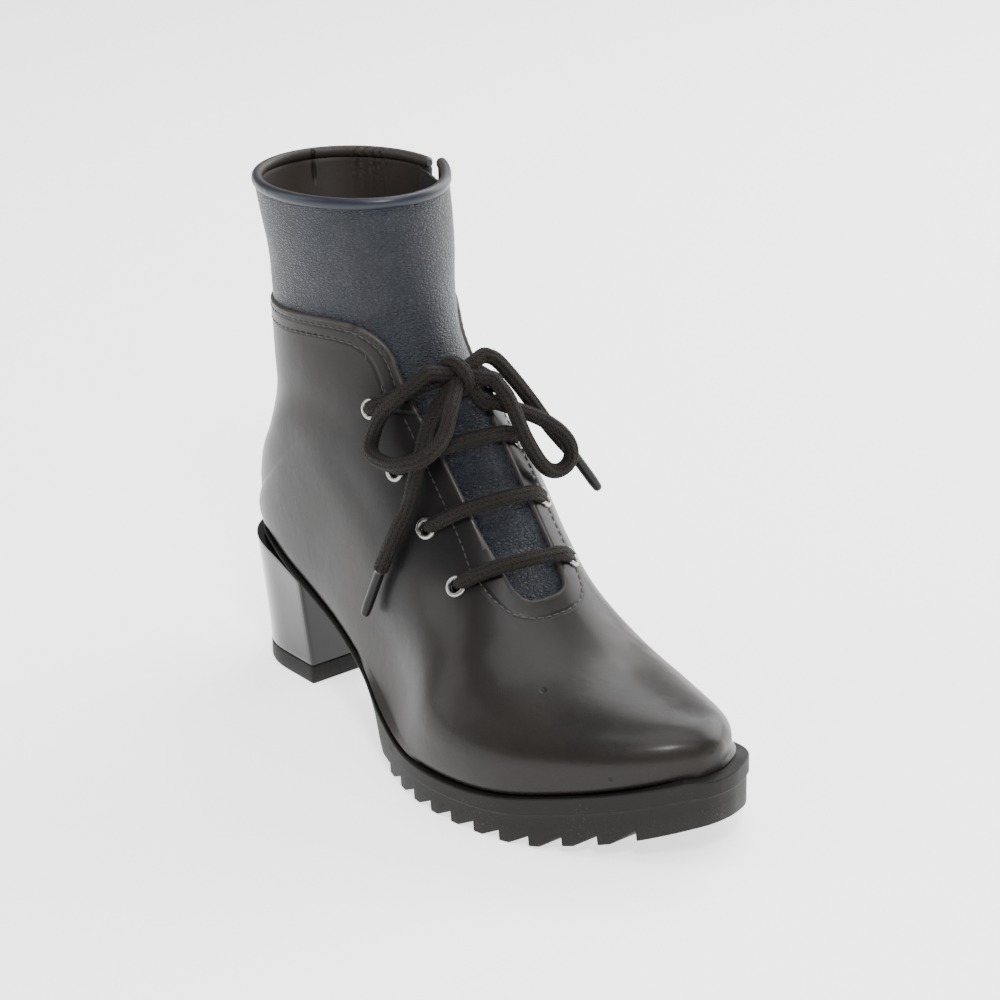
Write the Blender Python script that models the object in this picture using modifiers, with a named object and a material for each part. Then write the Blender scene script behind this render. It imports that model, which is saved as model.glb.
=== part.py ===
"""A woman's lace-up ankle boot for the right foot, with a block heel, a lugged platform and a side zip.

The boot stands on its sole: +X runs to the toe, +Y to the medial side, +Z up, and the origin is on
the floor under the heel. Tables hold millimetres and everything that is built is in metres.
"""

import math

import bmesh
import bpy
import numpy as np
from mathutils import Matrix, Vector
from mathutils.bvhtree import BVHTree

MM = 0.001
GAP = 0.3
SEAT_GAP = 0.4
FAR = 400.0

# Walls of the leather, outward from the last
SHAFT_WALL = 1.8
UPPER_WALL = 3.0
LASTING_MARGIN = 8.0
RINGS_PER_ROW = 2
LOW_STEPS = 5
HIGH_STEPS = 9
PLAN_STEPS = 400

# The instep runs down from its top at this slope, and the throat lies along it
INSTEP_TOP = (82.0, 138.0)
INSTEP_SLOPE = 48.6

# Half widths of the U throat down the instep from the instep's top
THROAT_COLUMNS = ("down", "half_width")
THROAT = (
    (-60.0, 14.0),
    (-8.0, 13.0),
    (24.0, 11.0),
    (72.0, 10.8),
    (83.0, 9.8),
    (87.0, 7.5),
    (88.5, 3.5),
)
THROAT_CENTRE_Y = -1.2
THROAT_DEPTH = (-12.0, 34.0)

# Side view of the quarters' top line, from the back to its front corner
QUARTER_COLUMNS = ("x", "z")
QUARTER_LINE = (
    (-60.0, 154.0),
    (2.0, 155.0),
    (40.0, 157.5),
    (54.0, 157.0),
    (61.0, 154.5),
    (66.5, 150.0),
    (70.0, 145.0),
    (73.0, 139.5),
    (75.5, 134.0),
)

# The zip's slot runs down the medial side
ZIP_TOP = (38.0, 199.0)
ZIP_BOTTOM = (27.0, 80.0)
ZIP_SLOT_WIDTH = 9.0

# Outsole: how far it stands out past the last, and its underside
SOLE_OUT = 4.2
SOLE_COLUMNS = ("x", "z")
SOLE_UNDERSIDE = (
    (-30.0, 59.0),
    (22.0, 44.0),
    (48.0, 33.0),
    (70.0, 24.5),
    (79.0, 20.0),
    (85.0, 12.5),
    (90.0, 5.5),
    (97.0, 1.2),
    (105.0, 0.0),
    (168.0, 0.0),
    (188.0, 3.0),
    (208.0, 8.0),
    (230.0, 15.5),
)
RAND = 2.5
LUG_FIRST_X = 89.0
LUG_PITCH = 11.0
LUG_COUNT = 11
LUG_LAND = 3.2
LUG_DEPTH = 4.0
STEP_SHARE = 0.35
STEP_IN = 0.8

# Heel block and its top lift
HEEL_BACK = 22.5
HEEL_FRONT = 21.0
HEEL_HALF_WIDTH = 24.4
TOP_LIFT = 7.5

# Insole: its thickness, how far inside the last's plan it lies, and how much shorter it is at the toe
INSOLE = 2.5
INSOLE_LIFT = 0.7
INSOLE_INSET = 2.2
INSOLE_SHORT = 9.0
INSOLE_TURN = 18.0
FOREFOOT_X = 130.0

# Eyelets: how far down the instep and how far from the middle each one is
EYELET_COLUMNS = ("lateral_down", "lateral_y", "medial_down", "medial_y")
EYELETS = (
    (-3.0, -22.4, 10.0, 19.0),
    (21.5, -23.2, 29.0, 17.0),
    (46.0, -23.6, 52.5, 17.0),
    (70.5, -25.2, 76.5, 17.0),
)
EYELET_HOLE = 2.15
EYELET_BARREL = 2.6
EYELET_FLANGE = 4.1
EYELET_HEIGHT = 1.15
HOLE_IN_UPPER = 2.95

# Collar binding: half its width and half its height
BINDING = (1.9, 1.7)
BINDING_LIFT = 0.65

# Zip: tape, chain, slider and pull tab
TAPE_HALF_WIDTH = 9.0
TAPE_THICKNESS = 0.9
TAPE_INSET = 0.45
CHAIN_HALF_WIDTH = 2.2
CHAIN_PROUD = 0.9
CHAIN_END = 0.86
SLIDER_AT = 0.925
SLIDER = (7.6, 10.5, 3.2)
SLIDER_LIFT = 0.5
BAIL_WIDTH = 1.8
BAIL_WIRE = 1.0
BAIL_ROOM = 1.45
BAIL_SUNK = 0.4
PIVOT_HEIGHT = 1.2
PULL_WIDTH = 5.6
PULL_LENGTH = 30.0
PULL_THICKNESS = 1.2
PULL_BAR = 1.3

# Laces: round braided cord
CORD = 5.5
CORD_SPACING = 7.0
BAR_LIFT = 3.8
BAR_END_LIFT = 5.4
KNOT_CENTRE = (91.7, -2.4, 142.7)
KNOT_RADII = (6.6, 8.6, 7.0)
AGLET = 3.6
AGLET_LENGTH = 17.0
LEFT_LOOP = (
    (89.5, -14.0, 145.5), (88.0, -18.5, 142.5), (85.5, -24.5, 138.0), (79.5, -28.5, 130.0),
    (76.5, -30.5, 121.0), (79.5, -33.0, 117.0), (89.0, -34.5, 116.5), (99.0, -34.0, 118.5),
    (106.0, -28.5, 122.0), (105.5, -20.0, 127.5), (101.5, -13.0, 136.0),
)
LEFT_END = (
    (91.5, -11.5, 133.0), (94.0, -18.0, 128.0), (97.5, -25.0, 118.0), (96.5, -27.0, 109.5),
    (93.5, -28.5, 98.5), (91.0, -31.5, 90.0), (85.5, -35.5, 74.0),
)
LEFT_AGLET = ((85.1, -35.8, 72.9), (77.0, -37.6, 53.5))
RIGHT_LOOP = (
    (99.5, 7.5, 141.0), (104.5, 10.5, 135.5), (109.0, 10.5, 129.0), (112.0, 11.0, 121.5),
    (112.5, 15.0, 114.0), (112.0, 21.0, 107.5), (112.0, 26.0, 105.0), (113.0, 30.5, 106.5),
    (112.0, 31.0, 111.5), (109.5, 28.0, 118.0), (106.5, 23.0, 124.0), (102.5, 15.0, 128.0),
    (98.5, 8.5, 131.0), (96.0, 5.0, 131.5),
)
RIGHT_END = (
    (92.0, 9.0, 147.5), (94.0, 13.0, 145.5), (96.0, 19.0, 137.5), (98.0, 25.5, 127.5),
    (100.0, 32.5, 116.0), (102.0, 41.0, 104.5),
)
RIGHT_AGLET = ((102.2, 42.0, 103.1), (104.5, 51.5, 87.5))
LATERAL_RISE_END = (85.5, -11.5, 139.8)
MEDIAL_RISE_END = (88.4, 7.4, 141.2)
RISE_ARCH = 2.0

# Plan of the last at its feather edge: lateral and medial half widths
PLAN_COLUMNS = ("x", "lateral", "medial")
PLAN_TO_BALL = (
    (-20.5, 0.0, 0.0),
    (-19.0, 7.5, 7.5),
    (-14.0, 14.5, 14.5),
    (-4.0, 21.0, 21.0),
    (15.0, 25.0, 25.0),
    (45.0, 26.0, 24.0),
    (70.0, 31.0, 24.5),
    (95.0, 40.0, 29.0),
    (120.0, 47.0, 35.5),
    (143.0, 47.5, 38.5),
    (168.0, 42.0, 37.5),
)
PLAN = PLAN_TO_BALL + (
    (190.0, 30.5, 31.0),
    (203.0, 20.5, 25.5),
    (212.0, 11.0, 18.5),
    (217.0, 3.2, 11.5),
    (218.7, -0.4, 7.6),
    (219.0, -4.0, 4.0),
)

# The outsole's front stands further out than the last's toe
SOLE_PLAN = PLAN_TO_BALL + (
    (191.0, 30.0, 32.5),
    (206.0, 19.0, 28.0),
    (215.5, 9.8, 21.0),
    (220.5, 2.5, 13.0),
    (222.2, -0.8, 8.2),
    (222.6, -4.0, 4.0),
)

# Height of the last's feather edge along the boot
FEATHER_COLUMNS = ("x", "z")
FEATHER = (
    (-21.0, 61.0),
    (0.0, 58.0),
    (20.0, 51.0),
    (44.0, 41.0),
    (70.0, 31.0),
    (92.0, 22.7),
    (110.0, 19.0),
    (135.0, 18.5),
    (160.0, 20.0),
    (185.0, 25.0),
    (205.0, 30.0),
    (222.0, 35.0),
)

# Sections of the last, each in a plane across the boot from a bottom point to a top point.
# A half width is follow times the plan's half width plus its own swell.
SECTION_COLUMNS = (
    "bottom_x", "bottom_z", "top_x", "top_z", "follow", "lateral", "medial",
    "widest", "base_round", "lateral_crown", "medial_crown", "ridge_y",
)
SECTIONS = (
    (219.0, 34.0, 219.0, 38.5, 1.0, 0.0, 0.0, 0.40, 2.0, 2.2, 2.2, 4.0),
    (217.8, 33.8, 217.4, 41.6, 1.0, 0.0, -0.2, 0.38, 2.0, 2.2, 2.1, 4.0),
    (213.0, 32.3, 212.4, 44.0, 1.0, 0.2, -0.5, 0.36, 2.0, 2.1, 2.0, 3.7),
    (206.0, 30.2, 205.5, 45.6, 1.0, 0.4, -0.8, 0.35, 2.0, 2.1, 1.9, 3.3),
    (195.0, 27.2, 195.0, 47.0, 1.0, 0.5, -1.0, 0.34, 2.0, 2.1, 1.8, 3.0),
    (171.0, 21.5, 173.0, 50.5, 1.0, 0.5, -1.5, 0.32, 2.0, 2.0, 1.8, 3.5),
    (146.0, 19.0, 155.0, 57.5, 1.0, 1.0, -0.8, 0.28, 2.0, 2.0, 1.85, 4.5),
    (118.0, 18.5, 138.5, 70.0, 0.8, 9.0, 7.0, 0.28, 2.0, 1.9, 1.95, 5.0),
    (86.0, 24.8, 122.0, 89.0, 0.4, 19.0, 22.5, 0.32, 2.0, 1.9, 2.05, 5.0),
    (52.0, 37.8, 107.0, 108.0, 0.1, 27.0, 32.5, 0.38, 2.0, 1.9, 2.1, 5.0),
    (20.0, 51.0, 92.5, 126.0, 0.0, 27.0, 32.0, 0.42, 2.2, 2.0, 2.1, 4.0),
    (-8.0, 59.5, 82.0, 141.0, 0.0, 26.5, 30.0, 0.46, 2.4, 2.0, 2.0, 2.5),
    (-20.5, 61.0, 76.0, 153.5, 0.0, 26.0, 28.5, 0.48, 2.4, 2.0, 2.0, 1.0),
    (-20.0, 76.0, 73.0, 163.5, 0.0, 26.0, 28.0, 0.50, 2.3, 2.0, 2.0, 0.5),
    (-9.5, 100.0, 71.0, 174.0, 0.0, 26.5, 28.0, 0.50, 2.1, 2.0, 2.0, 0.0),
    (-4.5, 130.0, 69.5, 184.0, 0.0, 28.5, 29.5, 0.48, 2.0, 2.0, 2.0, 0.0),
    (-6.0, 168.0, 68.0, 194.0, 0.0, 29.5, 30.5, 0.47, 2.0, 2.0, 2.0, 0.0),
    (-12.5, 198.0, 66.5, 201.0, 0.0, 30.5, 31.0, 0.48, 2.0, 2.0, 2.0, 0.0),
)
HEEL_ROW = 12


def columns(rows, names):
    """Return each named column of a table as an array."""
    table = np.array(rows, float)
    return {name: table[:, index] for index, name in enumerate(names)}


def smooth(values, at):
    """Read a column at fractional rows, along a Catmull-Rom curve."""
    values = np.asarray(values, float)
    padded = np.concatenate([[2 * values[0] - values[1]], values, [2 * values[-1] - values[-2]]])
    row = np.clip(np.floor(at).astype(int), 0, len(values) - 2)
    t = at - row
    before, here, after, beyond = (padded[row + step] for step in range(4))
    return 0.5 * (
        2 * here
        + (after - before) * t
        + (2 * before - 5 * here + 4 * after - beyond) * t**2
        + (3 * here - before - 3 * after + beyond) * t**3
    )


def along(names, rows, key, values):
    """Read the other columns of a table at values of its key column, through a smooth curve."""
    table = columns(rows, names)
    at = np.linspace(0, len(rows) - 1, 40 * len(rows))
    keys = np.maximum.accumulate(smooth(table[key], at))
    return {
        name: np.interp(values, keys, smooth(table[name], at)) for name in names if name != key
    }


def plan_at(x):
    """Half widths of the last's feather edge at x."""
    return along(PLAN_COLUMNS, PLAN, "x", np.asarray(x, float))


def feather_at(x):
    """Height of the last's feather edge at x."""
    return along(FEATHER_COLUMNS, FEATHER, "x", np.asarray(x, float))["z"]


def last_rings():
    """Work out the last: one ring of points for each section, from the toe to the collar.

    A ring's columns run from the lateral lasting margin over the ridge to the medial one.
    """
    count = RINGS_PER_ROW * (len(SECTIONS) - 1)
    at = np.linspace(0, len(SECTIONS) - 1, count + 1)
    table = {name: smooth(values, at) for name, values in columns(SECTIONS, SECTION_COLUMNS).items()}
    on_sole = at <= HEEL_ROW
    bottom_z = np.where(on_sole, feather_at(table["bottom_x"]), table["bottom_z"])
    plan = plan_at(table["bottom_x"])
    middle = (plan["medial"] - plan["lateral"]) / 2
    opening = dict(zip(("lateral", "medial"), plan_out(PLAN, table["bottom_x"], -LASTING_MARGIN)))
    back, tip = plan_ends(PLAN, -LASTING_MARGIN)
    closed = ~on_sole | (table["bottom_x"] < back) | (table["bottom_x"] > tip)
    bottom = np.stack([table["bottom_x"], np.zeros(len(at)), bottom_z], 1)
    top = np.stack([table["top_x"], table["ridge_y"], table["top_z"]], 1)
    rise = top - bottom
    rise[:, 1] = 0.0
    low = np.linspace(0, math.pi / 2, LOW_STEPS + 1)
    high = np.linspace(0, math.pi / 2, HIGH_STEPS + 1)[1:]
    sides = []
    for side, sign in (("lateral", -1.0), ("medial", 1.0)):
        base = np.where(on_sole, plan[side], 0.0)
        width = table["follow"] * plan[side] + table[side]
        rings = []
        for k in range(len(at)):
            power = 2.0 / table["base_round"][k]
            crown = 2.0 / table[side + "_crown"][k]
            centre = sign * table["ridge_y"][k]
            swell = width[k] - base[k]
            low_y = base[k] + swell * np.sin(low) ** power
            low_h = table["widest"][k] * (1 - np.cos(low) ** power)
            high_y = centre + (width[k] - centre) * np.cos(high) ** crown
            high_h = table["widest"][k] + (1 - table["widest"][k]) * np.sin(high) ** crown
            centre_line = sign * middle[k] if on_sole[k] else 0.0
            edge = centre_line if closed[k] else max(sign * opening[side][k], centre_line)
            y = np.concatenate([[edge], low_y, high_y])
            h = np.concatenate([[0.0], low_h, high_h])
            points = bottom[k] + h[:, None] * rise[k]
            points[:, 1] = sign * y
            rings.append(points)
        sides.append(np.array(rings))
    lateral, medial = sides
    return np.concatenate([lateral, medial[:, -2::-1]], axis=1)


class Last:
    """The last as one welded surface: its rings, its outward directions and its offsets."""

    def __init__(self):
        self.rings = last_rings()
        count, columns_count, _ = self.rings.shape
        flat = np.round(self.rings.reshape(-1, 3), 4)
        self.points, inverse = np.unique(flat, axis=0, return_inverse=True)
        self.index = inverse.reshape(count, columns_count)
        self.out = self.directions()

    def cells(self):
        """Faces of the walls and lasting margins, without the collapsed ones."""
        faces = []
        for k in range(self.index.shape[0] - 1):
            for j in range(self.index.shape[1] - 1):
                loop = (
                    self.index[k, j], self.index[k + 1, j],
                    self.index[k + 1, j + 1], self.index[k, j + 1],
                )
                face = list(dict.fromkeys(int(i) for i in loop))
                if len(face) > 2:
                    faces.append(face)
        return faces

    def base_cells(self):
        """Faces that close the last underneath, between the margins."""
        faces = []
        for k in range(self.index.shape[0] - 1):
            loop = (
                self.index[k, -1], self.index[k + 1, -1], self.index[k + 1, 0], self.index[k, 0],
            )
            face = list(dict.fromkeys(int(i) for i in loop))
            if len(face) > 2:
                faces.append(face)
        return faces

    def directions(self):
        """Outward direction of each point, longer where faces meet at an angle."""
        mesh = bmesh.new()
        verts = [mesh.verts.new(point) for point in self.points]
        for face in self.cells() + self.base_cells():
            mesh.faces.new([verts[i] for i in face])
        bmesh.ops.recalc_face_normals(mesh, faces=mesh.faces)
        mesh.normal_update()
        out = np.array([vert.normal * min(vert.calc_shell_factor(), 1.3) for vert in verts])
        mesh.free()
        middle = self.rings[len(self.rings) // 2].mean(axis=0)
        ridge = self.index[len(self.rings) // 2, self.index.shape[1] // 2]
        return out if out[ridge] @ (self.points[ridge] - middle) > 0 else -out

    def offset(self, distance):
        """Points of the last moved outward."""
        return self.points + distance * self.out

    def tree(self, distance):
        """A search tree of the surface at one offset."""
        points = [Vector(point) for point in self.offset(distance)]
        return BVHTree.FromPolygons(points, self.cells() + self.base_cells())

    def shell(self, low, high):
        """Points and faces of the wall between two offsets, open at the collar and underneath."""
        count = len(self.points)
        points = np.concatenate([self.offset(low), self.offset(high)])
        faces = []
        for face in self.cells():
            faces.append([i + count for i in face])
            faces.append(face[::-1])
        rim = [(a, b) for a, b in zip(self.index[-1, :-1], self.index[-1, 1:]) if a != b]
        open_ring = self.index[:, 0] != self.index[:, -1]
        for k in range(len(open_ring) - 1):
            if open_ring[k] or open_ring[k + 1]:
                rim.append((self.index[k + 1, 0], self.index[k, 0]))
                rim.append((self.index[k, -1], self.index[k + 1, -1]))
        for a, b in rim:
            faces.append([int(a), int(b), int(b) + count, int(a) + count])
        return points, faces


def paint(name, colour, roughness, metallic=0.0):
    """Make a plain material."""
    made = bpy.data.materials.new(name)
    made.use_nodes = True
    shader = made.node_tree.nodes["Principled BSDF"]
    shader.inputs["Base Color"].default_value = (*colour, 1.0)
    shader.inputs["Roughness"].default_value = roughness
    shader.inputs["Metallic"].default_value = metallic
    return made


def place(name, mesh, collection, finish=None):
    """Put a mesh in a collection as a new object."""
    made = bpy.data.objects.new(name, mesh)
    collection.objects.link(made)
    if finish is not None:
        mesh.materials.append(finish)
    return made


def mesh_of(name, points, faces, weld=0.002):
    """Make a closed mesh from points in millimetres, welded and facing out."""
    shape = bmesh.new()
    verts = [shape.verts.new(Vector(point) * MM) for point in points]
    for face in faces:
        shape.faces.new([verts[i] for i in face])
    bmesh.ops.remove_doubles(shape, verts=shape.verts, dist=weld * MM)
    bmesh.ops.dissolve_degenerate(shape, edges=shape.edges, dist=weld * MM / 2)
    bmesh.ops.recalc_face_normals(shape, faces=shape.faces)
    if shape.calc_volume(signed=True) < 0:
        bmesh.ops.reverse_faces(shape, faces=shape.faces)
    mesh = bpy.data.meshes.new(name)
    shape.to_mesh(mesh)
    shape.free()
    return mesh


def loft(rings, caps=True):
    """Points and faces through closed rings of equal counts."""
    rings = np.asarray(rings, float)
    count, around, _ = rings.shape
    faces = []
    for k in range(count - 1):
        for j in range(around):
            after = (j + 1) % around
            faces.append([
                k * around + j, k * around + after,
                (k + 1) * around + after, (k + 1) * around + j,
            ])
    if caps:
        faces.append(list(range(around))[::-1])
        faces.append([(count - 1) * around + j for j in range(around)])
    return rings.reshape(-1, 3), faces


def plate(name, outline, matrix, half_depth, collection):
    """A flat outline in millimetres, extruded both ways and made a welded mesh."""
    curve = bpy.data.curves.new(name, "CURVE")
    curve.dimensions = "2D"
    curve.fill_mode = "BOTH"
    curve.extrude = half_depth * MM
    spline = curve.splines.new("POLY")
    spline.points.add(len(outline) - 1)
    for point, (u, v) in zip(spline.points, outline):
        point.co = (u * MM, v * MM, 0.0, 1.0)
    spline.use_cyclic_u = True
    guide = bpy.data.objects.new(name, curve)
    collection.objects.link(guide)
    guide.matrix_world = matrix
    bpy.context.view_layer.update()
    graph = bpy.context.evaluated_depsgraph_get()
    mesh = bpy.data.meshes.new_from_object(guide.evaluated_get(graph))
    bpy.data.objects.remove(guide)
    shape = bmesh.new()
    shape.from_mesh(mesh)
    bmesh.ops.remove_doubles(shape, verts=shape.verts, dist=0.002 * MM)
    bmesh.ops.recalc_face_normals(shape, faces=shape.faces)
    shape.to_mesh(mesh)
    shape.free()
    made = place(name, mesh, collection)
    made.matrix_world = matrix
    return made


def hide(cutter):
    """Mark an object as a cutter."""
    cutter.hide_render = True
    cutter.display_type = "WIRE"
    return cutter


def combine(target, cutter, operation="DIFFERENCE", solver="EXACT"):
    """Cut one object by another, or keep what they share."""
    modifier = target.modifiers.new(cutter.name, "BOOLEAN")
    modifier.object = cutter
    modifier.operation = operation
    modifier.solver = solver


def turned_from(origin, across, up, out):
    """A matrix with its axes across, up and out, at an origin in millimetres."""
    matrix = Matrix((across, up, out)).transposed().to_4x4()
    matrix.translation = Vector(origin) * MM
    return matrix


def instep_axes():
    """Directions down the instep and out of it."""
    slope = math.radians(INSTEP_SLOPE)
    return Vector((math.cos(slope), 0, -math.sin(slope))), Vector((math.sin(slope), 0, math.cos(slope)))


def side_matrix(y):
    """A plane seen from the lateral side: X along the boot, Y up."""
    return turned_from((0, y, 0), Vector((1, 0, 0)), Vector((0, 0, 1)), Vector((0, -1, 0)))


def quarter_cutter(name, grow, collection):
    """Everything below the quarters' top line, and all of the forefoot."""
    points = np.array(QUARTER_LINE)
    run = np.gradient(points, axis=0)
    run /= np.linalg.norm(run, axis=1)[:, None]
    line = [tuple(point) for point in points + grow * np.stack([-run[:, 1], run[:, 0]], 1)]
    corner = (line[-1][0], QUARTER_LINE[-1][1] + grow)
    line[-1] = corner
    outline = line + [(FAR, corner[1]), (FAR, -FAR / 4), (line[0][0], -FAR / 4)]
    return hide(plate(name, outline, side_matrix(0), FAR / 4, collection))


def throat_cutter(name, grow, collection):
    """The U throat, as a prism along the instep's outward direction."""
    down, out = instep_axes()
    table = columns(THROAT, THROAT_COLUMNS)
    at = np.linspace(0, len(THROAT) - 1, 3 * (len(THROAT) - 1) + 1)
    reach = smooth(table["down"], at)
    half = smooth(table["half_width"], at) + grow
    reach = reach + grow * np.clip((reach - table["down"][-3]) / 4.0, 0.0, 1.0)
    outline = [(s, THROAT_CENTRE_Y + h) for s, h in zip(reach, half)]
    outline += [(s, THROAT_CENTRE_Y - h) for s, h in zip(reach[::-1], half[::-1])]
    low, high = THROAT_DEPTH
    origin = Vector((INSTEP_TOP[0], 0, INSTEP_TOP[1])) + out * (low + high) / 2
    matrix = turned_from(origin, down, Vector((0, 1, 0)), out)
    return hide(plate(name, outline, matrix, (high - low) / 2, collection))


def zip_cutter(collection):
    """The zip's slot through the medial wall."""
    top = Vector((*ZIP_TOP,))
    bottom = Vector((*ZIP_BOTTOM,))
    down = (bottom - top).normalized()
    across = Vector((-down.y, down.x)) * ZIP_SLOT_WIDTH / 2
    above = top - down * 30
    outline = [above + across, above - across, bottom - across]
    for step in range(1, 6):
        turn = math.pi * step / 6
        outline.append(bottom - across * math.cos(turn) + down * (ZIP_SLOT_WIDTH / 2) * math.sin(turn))
    outline.append(bottom + across)
    return hide(plate("zip_slot", outline, side_matrix(40), 35, collection))


def block_cutter(name, low_z, high_z, collection):
    """Everything between two heights."""
    mesh = bpy.data.meshes.new(name)
    shape = bmesh.new()
    bmesh.ops.create_cube(shape, size=1.0)
    bmesh.ops.scale(shape, vec=(FAR * 2 * MM, FAR * MM, (high_z - low_z) * MM), verts=shape.verts)
    bmesh.ops.translate(shape, vec=(0, 0, (high_z + low_z) / 2 * MM), verts=shape.verts)
    shape.to_mesh(mesh)
    shape.free()
    return hide(place(name, mesh, collection))


def plan_out(rows, x, out):
    """Lateral and medial y of a plan moved outward, read at x."""
    keys = np.linspace(0, len(rows) - 1, PLAN_STEPS)
    table = {name: smooth(values, keys) for name, values in columns(rows, PLAN_COLUMNS).items()}
    sides = []
    for name, sign in (("lateral", -1.0), ("medial", 1.0)):
        line = np.stack([table["x"], sign * table[name]], 1)
        run = np.gradient(line, axis=0)
        run /= np.linalg.norm(run, axis=1)[:, None]
        moved = line + out * sign * np.stack([-run[:, 1], run[:, 0]], 1)
        sides.append(np.interp(x, np.maximum.accumulate(moved[:, 0]), moved[:, 1]))
    return sides


def plan_ends(rows, out):
    """The x of a plan's back and tip, moved outward."""
    return rows[0][0] - out, rows[-1][0] + out


def sole_top(x):
    """Height of the outsole's top, under the lasting margin."""
    slope = np.gradient(feather_at(np.array([x - 1.0, x, x + 1.0])))[1]
    return float(feather_at(x)) - (UPPER_WALL + SEAT_GAP) * math.hypot(1.0, slope)


def wall_parts(last, parts, cutters):
    """The black upper, the navy shaft above it and the tongue in its throat."""
    black = paint("black_leather", (0.012, 0.011, 0.011), 0.38)
    navy = paint("navy_leather", (0.022, 0.028, 0.042), 0.45)
    quarter = quarter_cutter("quarter_region", 0.0, cutters)
    throat = throat_cutter("throat_region", 0.0, cutters)
    combine(quarter, throat)
    covered = quarter_cutter("covered_region", GAP, cutters)
    inlet = throat_cutter("tongue_region", -GAP, cutters)
    slot = zip_cutter(cutters)
    above = block_cutter("above_tongue", QUARTER_LINE[-1][1], FAR, cutters)

    upper = place("upper", mesh_of("upper", *last.shell(0.0, UPPER_WALL)), parts, black)
    combine(upper, quarter, "INTERSECT")
    combine(upper, slot)

    shaft = place("shaft", mesh_of("shaft", *last.shell(0.0, SHAFT_WALL)), parts, navy)
    combine(shaft, covered, solver="MANIFOLD")
    combine(shaft, slot, solver="MANIFOLD")

    tongue = place("tongue", mesh_of("tongue", *last.shell(0.0, SHAFT_WALL)), parts, navy)
    combine(tongue, inlet, "INTERSECT")
    combine(tongue, above)
    return upper, slot


def lug_stations():
    """Where the tread's notches start and end, and how high they are there."""
    stations = []
    for k in range(LUG_COUNT):
        start = LUG_FIRST_X + k * LUG_PITCH
        stations += [(start, 0.0), (start + LUG_LAND, 0.0), (start + LUG_PITCH - GAP, LUG_DEPTH)]
    return stations + [(LUG_FIRST_X + LUG_COUNT * LUG_PITCH, 0.0)]


def sole_underside(x):
    """Height of the outsole's underside, without its notches."""
    rand = sole_top(x) - RAND
    if x <= HEEL_FRONT:
        return rand
    low = float(along(SOLE_COLUMNS, SOLE_UNDERSIDE, "x", np.array(x))["z"])
    return min(rand, max(low, 0.0))


def outsole(parts):
    """The rubber outsole: a rand under the heel, a thin waist and the lugged platform."""
    rubber = paint("sole_rubber", (0.010, 0.009, 0.008), 0.62)
    back, tip = plan_ends(SOLE_PLAN, SOLE_OUT)
    stations = {back + (0.0 - back) * t: 0.0 for t in 1 - np.cos(np.linspace(0, math.pi / 2, 7))}
    stations.update({x: 0.0 for x in np.arange(12.0, LUG_FIRST_X - 6, 11.0)})
    stations.update(dict(lug_stations()))
    last_lug = max(stations)
    stations.update({last_lug + (tip - last_lug) * math.sin(t): 0.0
                     for t in np.linspace(0, math.pi / 2, 8)[1:]})
    xs = np.array(sorted(stations))
    lateral, medial = plan_out(SOLE_PLAN, xs, SOLE_OUT)
    middle = (lateral + medial) / 2
    lateral[[0, -1]] = medial[[0, -1]] = middle[[0, -1]]
    lateral_in = np.minimum(lateral + STEP_IN, middle)
    medial_in = np.maximum(medial - STEP_IN, middle)
    rings = []
    for k, x in enumerate(xs):
        top = sole_top(x)
        low = sole_underside(x) + stations[x]
        step = top - STEP_SHARE * (top - low)
        under = step - min(STEP_IN, 0.2 * (top - low))
        rings.append([
            (x, medial[k], top), (x, medial[k], step), (x, medial_in[k], under),
            (x, medial_in[k], low),
            (x, lateral_in[k], low), (x, lateral_in[k], under), (x, lateral[k], step),
            (x, lateral[k], top),
        ])
    return place("outsole", mesh_of("outsole", *loft(rings, caps=False)), parts, rubber)


def heel_ring(back, front, half, height_at):
    """A D-shaped outline of the heel: a round back and a straight breast."""
    middle = back + 0.6 * (front - back)
    turn = np.linspace(math.pi / 2, 3 * math.pi / 2, 15)
    line = [(front, half, height_at(front))]
    for angle in turn:
        x = middle + (middle - back) * math.copysign(abs(math.cos(angle)) ** 0.87, math.cos(angle))
        y = half * math.copysign(abs(math.sin(angle)) ** 0.87, math.sin(angle))
        line.append((x, y, height_at(x)))
    line.append((front, -half, height_at(front)))
    return line


def heel(parts):
    """The glossy heel block under the rand, and the rubber top lift that it stands on."""
    gloss = paint("heel_lacquer", (0.008, 0.008, 0.008), 0.12)
    lift = paint("lift_rubber", (0.014, 0.013, 0.012), 0.6)
    seat_back, _ = plan_ends(SOLE_PLAN, SOLE_OUT)
    seat_half = float(plan_at(HEEL_FRONT)["lateral"]) + SOLE_OUT - 1.0
    rings = []
    for share in (0.0, 0.25, 0.55, 0.85, 1.0):
        spread = share**1.4
        back = -HEEL_BACK + (seat_back + 0.8 + HEEL_BACK) * spread
        half = HEEL_HALF_WIDTH + (seat_half - HEEL_HALF_WIDTH) * spread
        floor = TOP_LIFT + GAP
        rings.append(heel_ring(
            back, HEEL_FRONT, half,
            lambda x: floor + (sole_underside(x) - SEAT_GAP - floor) * share,
        ))
    place("heel_block", mesh_of("heel_block", *loft(rings)), parts, gloss)
    foot = [heel_ring(-HEEL_BACK, HEEL_FRONT, HEEL_HALF_WIDTH, lambda x: z) for z in (0.0, TOP_LIFT)]
    place("heel_top_lift", mesh_of("heel_top_lift", *loft(foot)), parts, lift)


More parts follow.
